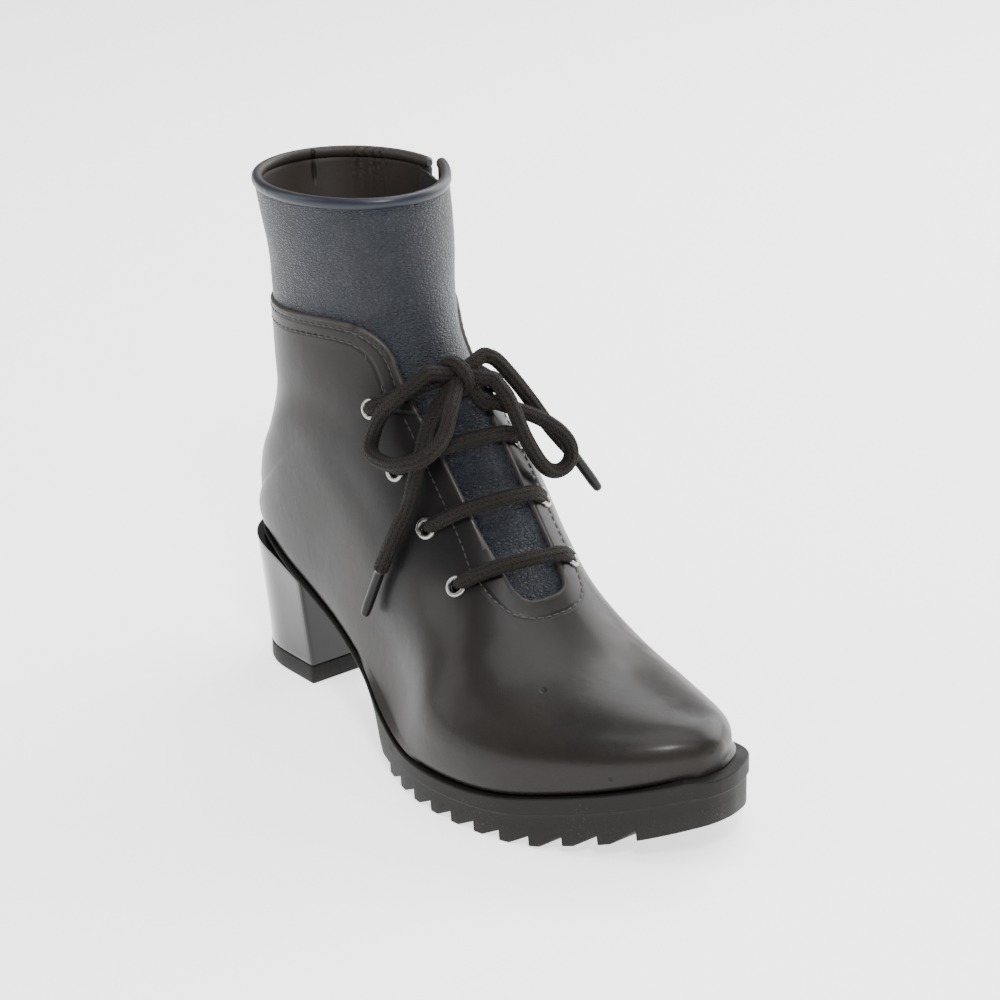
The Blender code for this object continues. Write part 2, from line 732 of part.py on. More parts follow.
def insole(parts):
    """The padded insole on the lasting margin."""
    leather = paint("insole_leather", (0.05, 0.035, 0.025), 0.6)
    back, tip = plan_ends(PLAN, -INSOLE_INSET)
    turn = np.linspace(0, math.pi / 2, 7)
    xs = np.concatenate([
        back + INSOLE_TURN * (1 - np.cos(turn))[:-1],
        np.linspace(back + INSOLE_TURN, tip - INSOLE_TURN, 15),
        tip - INSOLE_TURN + INSOLE_TURN * np.sin(turn)[1:],
    ])
    lateral, medial = plan_out(PLAN, xs, -INSOLE_INSET)
    lateral[[0, -1]] = medial[[0, -1]] = ((lateral + medial) / 2)[[0, -1]]
    xs = xs - INSOLE_SHORT * np.clip((xs - FOREFOOT_X) / (tip - FOREFOOT_X), 0.0, 1.0) ** 2
    low = feather_at(xs) + INSOLE_LIFT
    rings = [
        [(x, m, z + INSOLE), (x, m, z), (x, l, z), (x, l, z + INSOLE)]
        for x, m, l, z in zip(xs, medial, lateral, low)
    ]
    place("insole", mesh_of("insole", *loft(rings, caps=False)), parts, leather)


def collar_binding(last, parts, slot):
    """The rolled edge on the collar, open at the zip."""
    leather = paint("binding_leather", (0.018, 0.022, 0.034), 0.35)
    line = last.rings[-1][1:-1]
    line = line[:-1] if np.allclose(line[0], line[-1]) else line
    up = np.cross(line[len(line) // 4] - line[0], line[len(line) // 2] - line[0])
    up = up / np.linalg.norm(up) * np.sign(up[2])
    half_width, half_height = BINDING
    profile = [(1.0, 0.0), (0.62, 1.0), (-0.62, 1.0), (-1.0, 0.0), (-0.62, -1.0), (0.62, -1.0)]
    middle = line.mean(axis=0)
    rings = []
    for before, point, after in zip(np.roll(line, 1, axis=0), line, np.roll(line, -1, axis=0)):
        side = np.cross(after - before, up)
        side = side / np.linalg.norm(side)
        side = side if side @ (point - middle) > 0 else -side
        centre = point + side * SHAFT_WALL / 2 + up * (half_height + BINDING_LIFT)
        rings.append([centre + side * half_width * a + up * half_height * b for a, b in profile])
    rings.append(rings[0])
    made = place("collar_binding", mesh_of("collar_binding", *loft(rings, caps=False)), parts, leather)
    combine(made, slot, solver="MANIFOLD")


def level_seat(surface, point, normal):
    """Turn and lift a seat so that a flange on it clears the curved surface all round."""
    across = normal.orthogonal().normalized()
    other = normal.cross(across)
    spots = []
    for angle in np.linspace(0, 2 * math.pi, 8, endpoint=False):
        start = point + (across * math.cos(angle) + other * math.sin(angle)) * EYELET_FLANGE
        spots.append(surface.ray_cast(start + normal * 10, -normal)[0])
    level = sum(
        ((spots[k] - spots[k + 4]).cross(spots[k + 2] - spots[(k + 6) % 8]) for k in range(2)), Vector()
    ).normalized()
    level = level if level.dot(normal) > 0 else -level
    lift = max(0.0, *((spot - point).dot(level) for spot in spots))
    return point + level * lift, level


def eyelet_seats(last):
    """Each eyelet's place on the upper and its outward direction, the lateral row first."""
    surface = last.tree(UPPER_WALL)
    down, out = instep_axes()
    table = columns(EYELETS, EYELET_COLUMNS)
    seats = []
    for side in ("lateral", "medial"):
        for number, (s, y) in enumerate(zip(table[side + "_down"], table[side + "_y"])):
            start = Vector((INSTEP_TOP[0], y, INSTEP_TOP[1])) + down * s + out * 60
            point, normal, _, _ = surface.ray_cast(start, -out)
            normal = normal if normal.dot(out) > 0 else -normal
            seats.append((f"eyelet_{side}_{number + 1}", *level_seat(surface, point, normal)))
    return seats


def eyelets(seats, upper, parts, cutters):
    """Turned metal eyelets in holes through the facings."""
    nickel = paint("nickel", (0.6, 0.58, 0.55), 0.25, 1.0)
    profile = [
        (EYELET_FLANGE - 0.5, EYELET_HEIGHT), (EYELET_FLANGE, EYELET_HEIGHT - 0.4),
        (EYELET_FLANGE, SEAT_GAP), (EYELET_BARREL, SEAT_GAP), (EYELET_BARREL, -UPPER_WALL + 0.2),
        (EYELET_HOLE, -UPPER_WALL + 0.2), (EYELET_HOLE, EYELET_HEIGHT - 0.3),
    ]
    mesh = bpy.data.meshes.new("eyelet")
    count = len(profile)
    mesh.from_pydata(
        [(r * MM, 0.0, z * MM) for r, z in profile],
        [(k, (k + 1) % count) for k in range(count)], [],
    )
    mesh.materials.append(nickel)
    holes = bmesh.new()
    for name, point, normal in seats:
        matrix = normal.to_track_quat("Z", "Y").to_matrix().to_4x4()
        matrix.translation = point * MM
        made = place(name, mesh, parts)
        made.matrix_world = matrix
        screw = made.modifiers.new("turned", "SCREW")
        screw.steps = screw.render_steps = 12
        screw.use_merge_vertices = True
        screw.merge_threshold = 0.00001
        bmesh.ops.create_cone(
            holes, cap_ends=True, segments=12, radius1=HOLE_IN_UPPER * MM,
            radius2=HOLE_IN_UPPER * MM, depth=16 * MM, matrix=matrix,
        )
    drilled = bpy.data.meshes.new("eyelet_holes")
    holes.to_mesh(drilled)
    holes.free()
    combine(upper, hide(place("eyelet_holes", drilled, cutters)), solver="MANIFOLD")


def cord(name, route, diameter, parts, finish, spacing=CORD_SPACING):
    """A tube along a smooth curve through a route's points."""
    route = np.array(route, float)
    at = np.linspace(0, len(route) - 1, 20 * len(route))
    line = np.stack([smooth(route[:, axis], at) for axis in range(3)], 1)
    run = np.concatenate([[0.0], np.cumsum(np.linalg.norm(np.diff(line, axis=0), axis=1))])
    count = max(2, round(run[-1] / spacing) + 1)
    points = np.stack([np.interp(np.linspace(0, run[-1], count), run, line[:, axis])
                       for axis in range(3)], 1)
    curve = bpy.data.curves.new(name, "CURVE")
    curve.dimensions = "3D"
    curve.bevel_depth = diameter / 2 * MM
    curve.bevel_resolution = 2
    curve.use_fill_caps = True
    spline = curve.splines.new("POLY")
    spline.points.add(len(points) - 1)
    for target, point in zip(spline.points, points):
        target.co = (*(point * MM), 1.0)
    curve.materials.append(finish)
    made = bpy.data.objects.new(name, curve)
    parts.objects.link(made)
    return made


def lace_bar(seat, other, last):
    """A bar of the lace from one eyelet over the tongue to the eyelet opposite."""
    surface = last.tree(UPPER_WALL)
    _, out = instep_axes()
    route = []
    for share in np.linspace(0.0, 1.0, 9):
        start = seat[1].lerp(other[1], float(share)) + out * 60
        point, normal, _, _ = surface.ray_cast(start, -out)
        normal = normal if normal.dot(out) > 0 else -normal
        lift = BAR_LIFT + (BAR_END_LIFT - BAR_LIFT) * abs(2 * share - 1) ** 1.5
        route.append(tuple(point + normal * lift))
    return route


def laces(seats, last, parts):
    """The lace: three bars, two rising strands, the bow's knot, loops and ends, and the aglets."""
    black = paint("lace_cord", (0.012, 0.011, 0.010), 0.8)
    tip = paint("aglet_plastic", (0.03, 0.03, 0.03), 0.2)
    half = len(seats) // 2
    for number in range(1, half):
        route = lace_bar(seats[number], seats[number + half], last)
        cord(f"lace_bar_{number}", route, CORD, parts, black)
    for side, seat, end in (
        ("lateral", seats[0], LATERAL_RISE_END), ("medial", seats[half], MEDIAL_RISE_END),
    ):
        start = seat[1] + seat[2] * BAR_END_LIFT
        arch = start.lerp(Vector(end), 0.5) + seat[2] * RISE_ARCH
        cord(f"lace_rise_{side}", (start, arch, end), CORD, parts, black, CORD_SPACING / 2)
    cord("lace_loop_lateral", LEFT_LOOP, CORD, parts, black)
    cord("lace_loop_medial", RIGHT_LOOP, CORD, parts, black)
    cord("lace_end_lateral", LEFT_END, CORD, parts, black)
    cord("lace_end_medial", RIGHT_END, CORD, parts, black)
    cord("aglet_lateral", LEFT_AGLET, AGLET, parts, tip, AGLET_LENGTH)
    cord("aglet_medial", RIGHT_AGLET, AGLET, parts, tip, AGLET_LENGTH)
    mesh = bpy.data.meshes.new("lace_knot")
    shape = bmesh.new()
    bmesh.ops.create_uvsphere(shape, u_segments=12, v_segments=8, radius=1.0)
    bmesh.ops.scale(shape, vec=Vector(KNOT_RADII) * MM, verts=shape.verts)
    shape.to_mesh(mesh)
    shape.free()
    knot = place("lace_knot", mesh, parts, black)
    knot.location = Vector(KNOT_CENTRE) * MM


class ZipLine:
    """The zip's line on the medial side, and points beside it on the last."""

    def __init__(self, last):
        self.surface = last.tree(0.0)
        self.top = Vector(ZIP_TOP)
        self.bottom = Vector(ZIP_BOTTOM)
        self.up = (self.top - self.bottom).normalized()
        self.across = Vector((self.up.y, -self.up.x))

    def point(self, share, across, out):
        """The point at a share of the way up, across the line and out from the last."""
        flat = self.bottom.lerp(self.top, share) + self.across * across
        hit, _, _, _ = self.surface.ray_cast(Vector((flat.x, 90.0, flat.y)), Vector((0, -1, 0)))
        return hit + Vector((0, out, 0))

    def frame(self, share, out):
        """A matrix on the line: X across, Y up the zip and Z outward."""
        up = (self.point(share + 0.03, 0, 0) - self.point(share - 0.03, 0, 0)).normalized()
        across = Vector((self.across.x, 0, self.across.y)).normalized()
        across = (across - up * across.dot(up)).normalized()
        normal = across.cross(up)
        if normal.y < 0:
            across, normal = -across, -normal
        origin = self.point(share, 0, 0) + normal * out
        return turned_from(origin, across, up, normal)


def zip_strip(line, parts):
    """The zip's tapes and closed chain behind the slot."""
    tape = paint("zip_tape", (0.01, 0.01, 0.011), 0.7)
    low = -TAPE_INSET - TAPE_THICKNESS
    edge, chain, foot = TAPE_HALF_WIDTH, CHAIN_HALF_WIDTH, CHAIN_HALF_WIDTH + 0.5
    stations = [(share, CHAIN_PROUD) for share in np.linspace(-0.01, CHAIN_END, 12)]
    stations += [(CHAIN_END + 0.004, -TAPE_INSET), (0.94, -TAPE_INSET), (0.995, -TAPE_INSET)]
    rings = []
    for share, proud in stations:
        section = [
            (edge, -TAPE_INSET), (foot, -TAPE_INSET), (chain, proud), (-chain, proud),
            (-foot, -TAPE_INSET), (-edge, -TAPE_INSET), (-edge, low), (-foot, low), (foot, low),
            (edge, low),
        ]
        rings.append([line.point(share, across, out) for across, out in section])
    place("zip", mesh_of("zip", *loft(rings)), parts, tape)


def zip_slider(line, parts, cutters):
    """The slider at the top of the closed zip, with the bail that holds the pull tab."""
    nickel = paint("zip_metal", (0.5, 0.49, 0.47), 0.3, 1.0)
    base = line.frame(SLIDER_AT, SLIDER_LIFT + SLIDER[2] / 2)
    mesh = bpy.data.meshes.new("zip_slider")
    shape = bmesh.new()
    bmesh.ops.create_cube(shape, size=1.0)
    bmesh.ops.scale(shape, vec=Vector(SLIDER) * MM, verts=shape.verts)
    bmesh.ops.bevel(
        shape, geom=shape.edges, offset=0.5 * MM, segments=1, affect="EDGES", profile=0.5,
    )
    shape.to_mesh(mesh)
    shape.free()
    slider = place("zip_slider", mesh, parts, nickel)
    slider.matrix_world = base
    outer, inner = BAIL_ROOM + BAIL_WIRE, BAIL_ROOM
    arc = np.linspace(0.0, math.pi, 7)
    foot = -inner - BAIL_SUNK
    outline = [(outer, foot)] + [(outer * math.cos(a), outer * math.sin(a)) for a in arc]
    outline += [(-outer, foot), (-inner, foot)]
    outline += [(inner * math.cos(a), inner * math.sin(a)) for a in arc[::-1]]
    outline.append((inner, foot))
    bar = pull_pivot(line)
    across, up, out = (Vector(base.col[k][:3]) for k in range(3))
    bail = plate("zip_bail", outline, turned_from(bar, up, out, across), BAIL_WIDTH / 2, cutters)
    combine(slider, hide(bail), "UNION")


def pull_pivot(line):
    """The middle of the pull tab's bar, inside the bail."""
    frame = line.frame(SLIDER_AT, SLIDER_LIFT + SLIDER[2] + PIVOT_HEIGHT)
    return frame.translation / MM


def zip_pull(line, parts):
    """The pull tab, which hangs from the bail and turns about its bar."""
    nickel = paint("pull_metal", (0.55, 0.54, 0.52), 0.25, 1.0)
    frame = line.frame(SLIDER_AT, 0.0)
    across, up, out = (Vector(frame.col[k][:3]) for k in range(3))
    half = PULL_WIDTH / 2
    eye = BAIL_WIDTH / 2 + 0.5
    room = BAIL_ROOM + BAIL_WIRE + 0.9
    end = PULL_BAR / 2
    tip = PULL_LENGTH
    outline = [(half, end), (half, -tip + 2.0), (half - 1.2, -tip), (-half + 1.2, -tip),
               (-half, -tip + 2.0), (-half, end)]
    hole = [(eye, -end), (eye, -room), (-eye, -room), (-eye, -end)]
    curve = bpy.data.curves.new("zip_pull", "CURVE")
    curve.dimensions = "2D"
    curve.fill_mode = "BOTH"
    curve.extrude = PULL_THICKNESS / 2 * MM
    for loop in (outline, hole):
        spline = curve.splines.new("POLY")
        spline.points.add(len(loop) - 1)
        for point, (u, v) in zip(spline.points, loop):
            point.co = (u * MM, v * MM, 0.0, 1.0)
        spline.use_cyclic_u = True
    curve.materials.append(nickel)
    made = bpy.data.objects.new("zip_pull", curve)
    parts.objects.link(made)
    made.matrix_world = turned_from(pull_pivot(line), across, up, out)


def main():
    """Build the boot."""
    for found in list(bpy.data.objects):
        bpy.data.objects.remove(found)
    parts = bpy.data.collections.new("lace_up_ankle_boot")
    cutters = bpy.data.collections.new("cutters")
    bpy.context.scene.collection.children.link(parts)
    bpy.context.scene.collection.children.link(cutters)
    last = Last()
    upper, slot = wall_parts(last, parts, cutters)
    outsole(parts)
    heel(parts)
    insole(parts)
    collar_binding(last, parts, slot)
    seats = eyelet_seats(last)
    eyelets(seats, upper, parts, cutters)
    laces(seats, last, parts)
    line = ZipLine(last)
    zip_strip(line, parts)
    zip_slider(line, parts, cutters)
    zip_pull(line, parts)


if __name__ == "__main__":
    main()
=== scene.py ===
"""Dress the lace-up ankle boot: leathers, stitching, lace, sole, heel, zip, camera and light.

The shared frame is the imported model's own: +X runs to the toe, +Y to the medial side, +Z up, in metres.
Sizes in the classes below are in millimetres unless a name says otherwise.
"""

import logging
import math
from dataclasses import dataclass, field, replace
from enum import Enum
from typing import Callable, Dict, List, Optional, Sequence, Tuple

import bmesh
import bpy
import numpy as np
from mathutils import Matrix, Vector
from mathutils.bvhtree import BVHTree

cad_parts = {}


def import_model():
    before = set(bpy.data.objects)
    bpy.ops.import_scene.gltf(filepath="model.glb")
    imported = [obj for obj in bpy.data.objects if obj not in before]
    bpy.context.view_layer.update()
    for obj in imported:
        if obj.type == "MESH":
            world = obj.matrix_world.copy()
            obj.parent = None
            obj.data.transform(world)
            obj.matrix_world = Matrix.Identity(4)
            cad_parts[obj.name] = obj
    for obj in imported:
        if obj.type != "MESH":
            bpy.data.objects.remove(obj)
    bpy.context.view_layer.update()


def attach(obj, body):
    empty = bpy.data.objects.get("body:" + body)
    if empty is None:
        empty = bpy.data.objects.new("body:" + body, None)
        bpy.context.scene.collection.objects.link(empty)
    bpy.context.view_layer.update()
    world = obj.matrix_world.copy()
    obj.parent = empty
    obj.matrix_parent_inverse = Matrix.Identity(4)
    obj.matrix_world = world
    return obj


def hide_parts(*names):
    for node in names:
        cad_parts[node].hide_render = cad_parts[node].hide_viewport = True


LOG = logging.getLogger("boot")
MM = 0.001
BODY = "boot"
QUARTER_INSETS = (2.2, 6.8)
THROAT_INSET = 7.0
Array = np.ndarray
Material = bpy.types.Material
Node = bpy.types.Node
Piece = bpy.types.Object
Socket = bpy.types.NodeSocket
Row = Tuple[float, ...]
Loops = List[List[int]]
Part = Tuple[Array, Loops, Dict[str, Array]]
Seat = Tuple[str, Array, Array]


class Side(Enum):
    """The two sides of the boot, with the sign of their y."""

    LATERAL = -1.0
    MEDIAL = 1.0


def smooth(values: Array, at: Array) -> Array:
    """Read a column at fractional rows, along a Catmull-Rom curve.

    Args:
        values: the column.
        at: fractional row numbers.

    Returns:
        The values there.
    """
    values = np.asarray(values, float)
    padded = np.concatenate([[2 * values[0] - values[1]], values, [2 * values[-1] - values[-2]]])
    row = np.clip(np.floor(at).astype(int), 0, len(values) - 2)
    t = at - row
    before, here, after, beyond = (padded[row + step] for step in range(4))
    return 0.5 * (
        2 * here
        + (after - before) * t
        + (2 * before - 5 * here + 4 * after - beyond) * t**2
        + (3 * here - before - 3 * after + beyond) * t**3
    )


def smooth_route(route: Sequence[Row], step: float) -> Array:
    """Read even points off a smooth curve through a route.

    Args:
        route: the points it passes.
        step: the distance between the points returned.

    Returns:
        The points, in millimetres.
    """
    table = np.array(route, float)
    at = np.linspace(0, len(table) - 1, 40 * len(table))
    line = np.stack([smooth(table[:, axis], at) for axis in range(table.shape[1])], 1)
    run = run_along(line)
    count = max(2, int(round(run[-1] / step)) + 1)
    where = np.linspace(0, run[-1], count)
    return np.stack([np.interp(where, run, line[:, axis]) for axis in range(line.shape[1])], 1)


def line_distance(points: Array, line: Array, closed: bool = False) -> Array:
    """Distance in the plane from points to a polyline.

    Args:
        points: two columns.
        line: the polyline's two columns.
        closed: whether its end joins its start.

    Returns:
        The distance of each point.
    """
    ends = np.roll(line, -1, axis=0) if closed else line[1:]
    starts = line if closed else line[:-1]
    best = np.full(len(points), 1e9)
    for a, b in zip(starts, ends):
        run = b - a
        t = np.clip((points - a) @ run / max(float(run @ run), 1e-9), 0.0, 1.0)
        best = np.minimum(best, np.linalg.norm(points - a - t[:, None] * run, axis=1))
    return best


def ease(value: Array, low: float, high: float) -> Array:
    """A soft step from 0 at low to 1 at high."""
    t = np.clip((np.asarray(value, float) - low) / (high - low), 0.0, 1.0)
    return t * t * (3 - 2 * t)


def run_along(line: Array) -> Array:
    """Distance along a polyline to each of its points."""
    return np.concatenate([[0.0], np.cumsum(np.linalg.norm(np.diff(line, axis=0), axis=1))])


def bands(rings: int, around: int) -> Loops:
    """Faces between closed rings of points that follow each other.

    Args:
        rings: how many rings there are.
        around: how many points each has.

    Returns:
        Four point numbers for each face, ring by ring.
    """
    return [
        [k * around + j, k * around + (j + 1) % around, (k + 1) * around + (j + 1) % around, (k + 1) * around + j]
        for k in range(rings - 1) for j in range(around)
    ]


def end_faces(rings: int, around: int) -> Loops:
    """The two faces that close the first and the last ring."""
    return [list(range(around))[::-1], [(rings - 1) * around + j for j in range(around)]]


PLAN_TO_BALL: Tuple[Row, ...] = (
    (-20.5, 0.0, 0.0), (-19.0, 7.5, 7.5), (-14.0, 14.5, 14.5), (-4.0, 21.0, 21.0),
    (15.0, 25.0, 25.0), (45.0, 26.0, 24.0), (70.0, 31.0, 24.5), (95.0, 40.0, 29.0),
    (120.0, 47.0, 35.5), (143.0, 47.5, 38.5), (168.0, 42.0, 37.5),
)


@dataclass
class LastForm:
    """The last that the boot is built on, in the same sections as the solids.

    Each row of sections gives bottom_x, bottom_z, top_x, top_z, follow, lateral, medial, widest, base_round,
    lateral_crown, medial_crown and ridge_y.
    """

    columns: Row = (
        "bottom_x", "bottom_z", "top_x", "top_z", "follow", "lateral", "medial",
        "widest", "base_round", "lateral_crown", "medial_crown", "ridge_y",
    )
    sections: Tuple[Row, ...] = (
        (219.0, 34.0, 219.0, 38.5, 1.0, 0.0, 0.0, 0.40, 2.0, 2.2, 2.2, 4.0),
        (217.8, 33.8, 217.4, 41.6, 1.0, 0.0, -0.2, 0.38, 2.0, 2.2, 2.1, 4.0),
        (213.0, 32.3, 212.4, 44.0, 1.0, 0.2, -0.5, 0.36, 2.0, 2.1, 2.0, 3.7),
        (206.0, 30.2, 205.5, 45.6, 1.0, 0.4, -0.8, 0.35, 2.0, 2.1, 1.9, 3.3),
        (195.0, 27.2, 195.0, 47.0, 1.0, 0.5, -1.0, 0.34, 2.0, 2.1, 1.8, 3.0),
        (171.0, 21.5, 173.0, 50.5, 1.0, 0.5, -1.5, 0.32, 2.0, 2.0, 1.8, 3.5),
        (146.0, 19.0, 155.0, 57.5, 1.0, 1.0, -0.8, 0.28, 2.0, 2.0, 1.85, 4.5),
        (118.0, 18.5, 138.5, 70.0, 0.8, 9.0, 7.0, 0.28, 2.0, 1.9, 1.95, 5.0),
        (86.0, 24.8, 122.0, 89.0, 0.4, 19.0, 22.5, 0.32, 2.0, 1.9, 2.05, 5.0),
        (52.0, 37.8, 107.0, 108.0, 0.1, 27.0, 32.5, 0.38, 2.0, 1.9, 2.1, 5.0),
        (20.0, 51.0, 92.5, 126.0, 0.0, 27.0, 32.0, 0.42, 2.2, 2.0, 2.1, 4.0),
        (-8.0, 59.5, 82.0, 141.0, 0.0, 26.5, 30.0, 0.46, 2.4, 2.0, 2.0, 2.5),
        (-20.5, 61.0, 76.0, 153.5, 0.0, 26.0, 28.5, 0.48, 2.4, 2.0, 2.0, 1.0),
        (-20.0, 76.0, 73.0, 163.5, 0.0, 26.0, 28.0, 0.50, 2.3, 2.0, 2.0, 0.5),
        (-9.5, 100.0, 71.0, 174.0, 0.0, 26.5, 28.0, 0.50, 2.1, 2.0, 2.0, 0.0),
        (-4.5, 130.0, 69.5, 184.0, 0.0, 28.5, 29.5, 0.48, 2.0, 2.0, 2.0, 0.0),
        (-6.0, 168.0, 68.0, 194.0, 0.0, 29.5, 30.5, 0.47, 2.0, 2.0, 2.0, 0.0),
        (-12.5, 198.0, 66.5, 201.0, 0.0, 30.5, 31.0, 0.48, 2.0, 2.0, 2.0, 0.0),
    )
    heel_row: int = 12
    margin: float = 8.0
    rows_per_section: int = 14
    low_steps: int = 12
    high_steps: int = 34
    plan_steps: int = 400
    steepest: float = 1.25
    plan: Tuple[Row, ...] = PLAN_TO_BALL + (
        (190.0, 30.5, 31.0), (203.0, 20.5, 25.5), (212.0, 11.0, 18.5), (217.0, 3.2, 11.5),
        (218.7, -0.4, 7.6), (219.0, -4.0, 4.0),
    )
    feather: Tuple[Row, ...] = (
        (-21.0, 61.0), (0.0, 58.0), (20.0, 51.0), (44.0, 41.0), (70.0, 31.0), (92.0, 22.7),
        (110.0, 19.0), (135.0, 18.5), (160.0, 20.0), (185.0, 25.0), (205.0, 30.0), (222.0, 35.0),
    )
    points: Array = field(default=None, repr=False)
    index: Array = field(default=None, repr=False)
    out: Array = field(default=None, repr=False)

    def read(self, rows: Tuple[Row, ...], x: Array) -> Array:
        """Read a table's other columns at x, through a smooth curve.

        Args:
            rows: the table, keyed by its first column.
            x: where to read it.

        Returns:
            One column for each of the table's other columns.
        """
        table = np.array(rows, float)
        at = np.linspace(0, len(table) - 1, 40 * len(table))
        keys = np.maximum.accumulate(smooth(table[:, 0], at))
        return np.stack([np.interp(x, keys, smooth(table[:, k], at)) for k in range(1, table.shape[1])], -1)

    def plan_out(self, x: Array, out: float) -> Tuple[Array, Array]:
        """Lateral and medial y of the plan, moved outward.

        Args:
            x: where to read it.
            out: how far outward.

        Returns:
            The lateral and the medial y.
        """
        keys = np.linspace(0, len(self.plan) - 1, self.plan_steps)
        table = np.array(self.plan, float)
        along = smooth(table[:, 0], keys)
        sides = []
        for column, side in ((1, Side.LATERAL), (2, Side.MEDIAL)):
            line = np.stack([along, side.value * smooth(table[:, column], keys)], 1)
            run = np.gradient(line, axis=0)
            run /= np.linalg.norm(run, axis=1)[:, None]
            moved = line + out * side.value * np.stack([-run[:, 1], run[:, 0]], 1)
            sides.append(np.interp(x, np.maximum.accumulate(moved[:, 0]), moved[:, 1]))
        return sides[0], sides[1]

    def ends(self, out: float) -> Tuple[float, float]:
        """The x of the plan's back and tip, moved outward."""
        return self.plan[0][0] - out, self.plan[-1][0] + out

    def feather_at(self, x: Array) -> Array:
        """Height of the feather edge at x."""
        return self.read(self.feather, np.asarray(x, float))[..., 0]

    def build(self) -> "LastForm":
        """Work out the fine surface and its outward directions.

        Returns:
            The last itself.
        """
        count = self.rows_per_section * (len(self.sections) - 1)
        at = np.linspace(0, len(self.sections) - 1, count + 1)
        raw = np.array(self.sections, float)
        table = {name: smooth(raw[:, k], at) for k, name in enumerate(self.columns)}
        on_sole = at <= self.heel_row
        bottom_z = np.where(on_sole, self.feather_at(table["bottom_x"]), table["bottom_z"])
        half = self.read(self.plan, table["bottom_x"])
        plan = {Side.LATERAL: half[:, 0], Side.MEDIAL: half[:, 1]}
        middle = (half[:, 1] - half[:, 0]) / 2
        opening = dict(zip(Side, self.plan_out(table["bottom_x"], -self.margin)))
        back, tip = self.ends(-self.margin)
        closed = ~on_sole | (table["bottom_x"] < back) | (table["bottom_x"] > tip)
        bottom = np.stack([table["bottom_x"], np.zeros(len(at)), bottom_z], 1)
        top = np.stack([table["top_x"], table["ridge_y"], table["top_z"]], 1)
        rise = top - bottom
        rise[:, 1] = 0.0
        low = np.linspace(0, math.pi / 2, self.low_steps + 1)
        high = np.linspace(0, math.pi / 2, self.high_steps + 1)[1:]
        sides = []
        for side in Side:
            sign = side.value
            base = np.where(on_sole, plan[side], 0.0)
            width = table["follow"] * plan[side] + table[side.name.lower()]
            rings = []
            for k in range(len(at)):
                power = 2.0 / table["base_round"][k]
                crown = 2.0 / table[side.name.lower() + "_crown"][k]
                centre = sign * table["ridge_y"][k]
                low_y = base[k] + (width[k] - base[k]) * np.sin(low) ** power
                low_h = table["widest"][k] * (1 - np.cos(low) ** power)
                high_y = centre + (width[k] - centre) * np.cos(high) ** crown
                high_h = table["widest"][k] + (1 - table["widest"][k]) * np.sin(high) ** crown
                centre_line = sign * middle[k] if on_sole[k] else 0.0
                edge = centre_line if closed[k] else max(sign * opening[side][k], centre_line)
                y = np.concatenate([[edge], low_y, high_y])
                h = np.concatenate([[0.0], low_h, high_h])
                points = bottom[k] + h[:, None] * rise[k]
                points[:, 1] = sign * y
                rings.append(points)
            sides.append(np.array(rings))
        rings = np.concatenate([sides[0], sides[1][:, -2::-1]], axis=1)
        flat = np.round(rings.reshape(-1, 3), 4)
        self.points, inverse = np.unique(flat, axis=0, return_inverse=True)
        self.index = inverse.reshape(rings.shape[:2])
        self.out = self.directions(rings)
        return self

    def cells(self) -> Loops:
        """List the faces of the walls and lasting margins, without the collapsed ones.

        Returns:
            Three or four point numbers for each face.
        """
        faces = []
        for k in range(self.index.shape[0] - 1):
            for j in range(self.index.shape[1] - 1):
                loop = (
                    self.index[k, j], self.index[k + 1, j],
                    self.index[k + 1, j + 1], self.index[k, j + 1],
                )
                face = list(dict.fromkeys(int(i) for i in loop))
                if len(face) > 2:
                    faces.append(face)
        return faces

    def directions(self, rings: Array) -> Array:
        """Outward direction of each point.

        Args:
            rings: the surface's rings of points.

        Returns:
            One direction for each welded point.
        """
        mesh = bmesh.new()
        verts = [mesh.verts.new(point) for point in self.points]
        for face in self.cells():
            mesh.faces.new([verts[i] for i in face])
        bmesh.ops.recalc_face_normals(mesh, faces=mesh.faces)
        mesh.normal_update()
        out = np.array([vert.normal * min(vert.calc_shell_factor(), self.steepest) for vert in verts])
        mesh.free()
        middle = rings[len(rings) // 2].mean(axis=0)
        ridge = self.index[len(rings) // 2, self.index.shape[1] // 2]
        return out if out[ridge] @ (self.points[ridge] - middle) > 0 else -out

    def offset(self, distance: float) -> Array:
        """Points of the last moved outward."""
        return self.points + distance * self.out

    def tree(self, distance: float) -> BVHTree:
        """A search tree of the surface at one offset."""
        points = [Vector(point) for point in self.offset(distance)]
        return BVHTree.FromPolygons(points, self.cells())


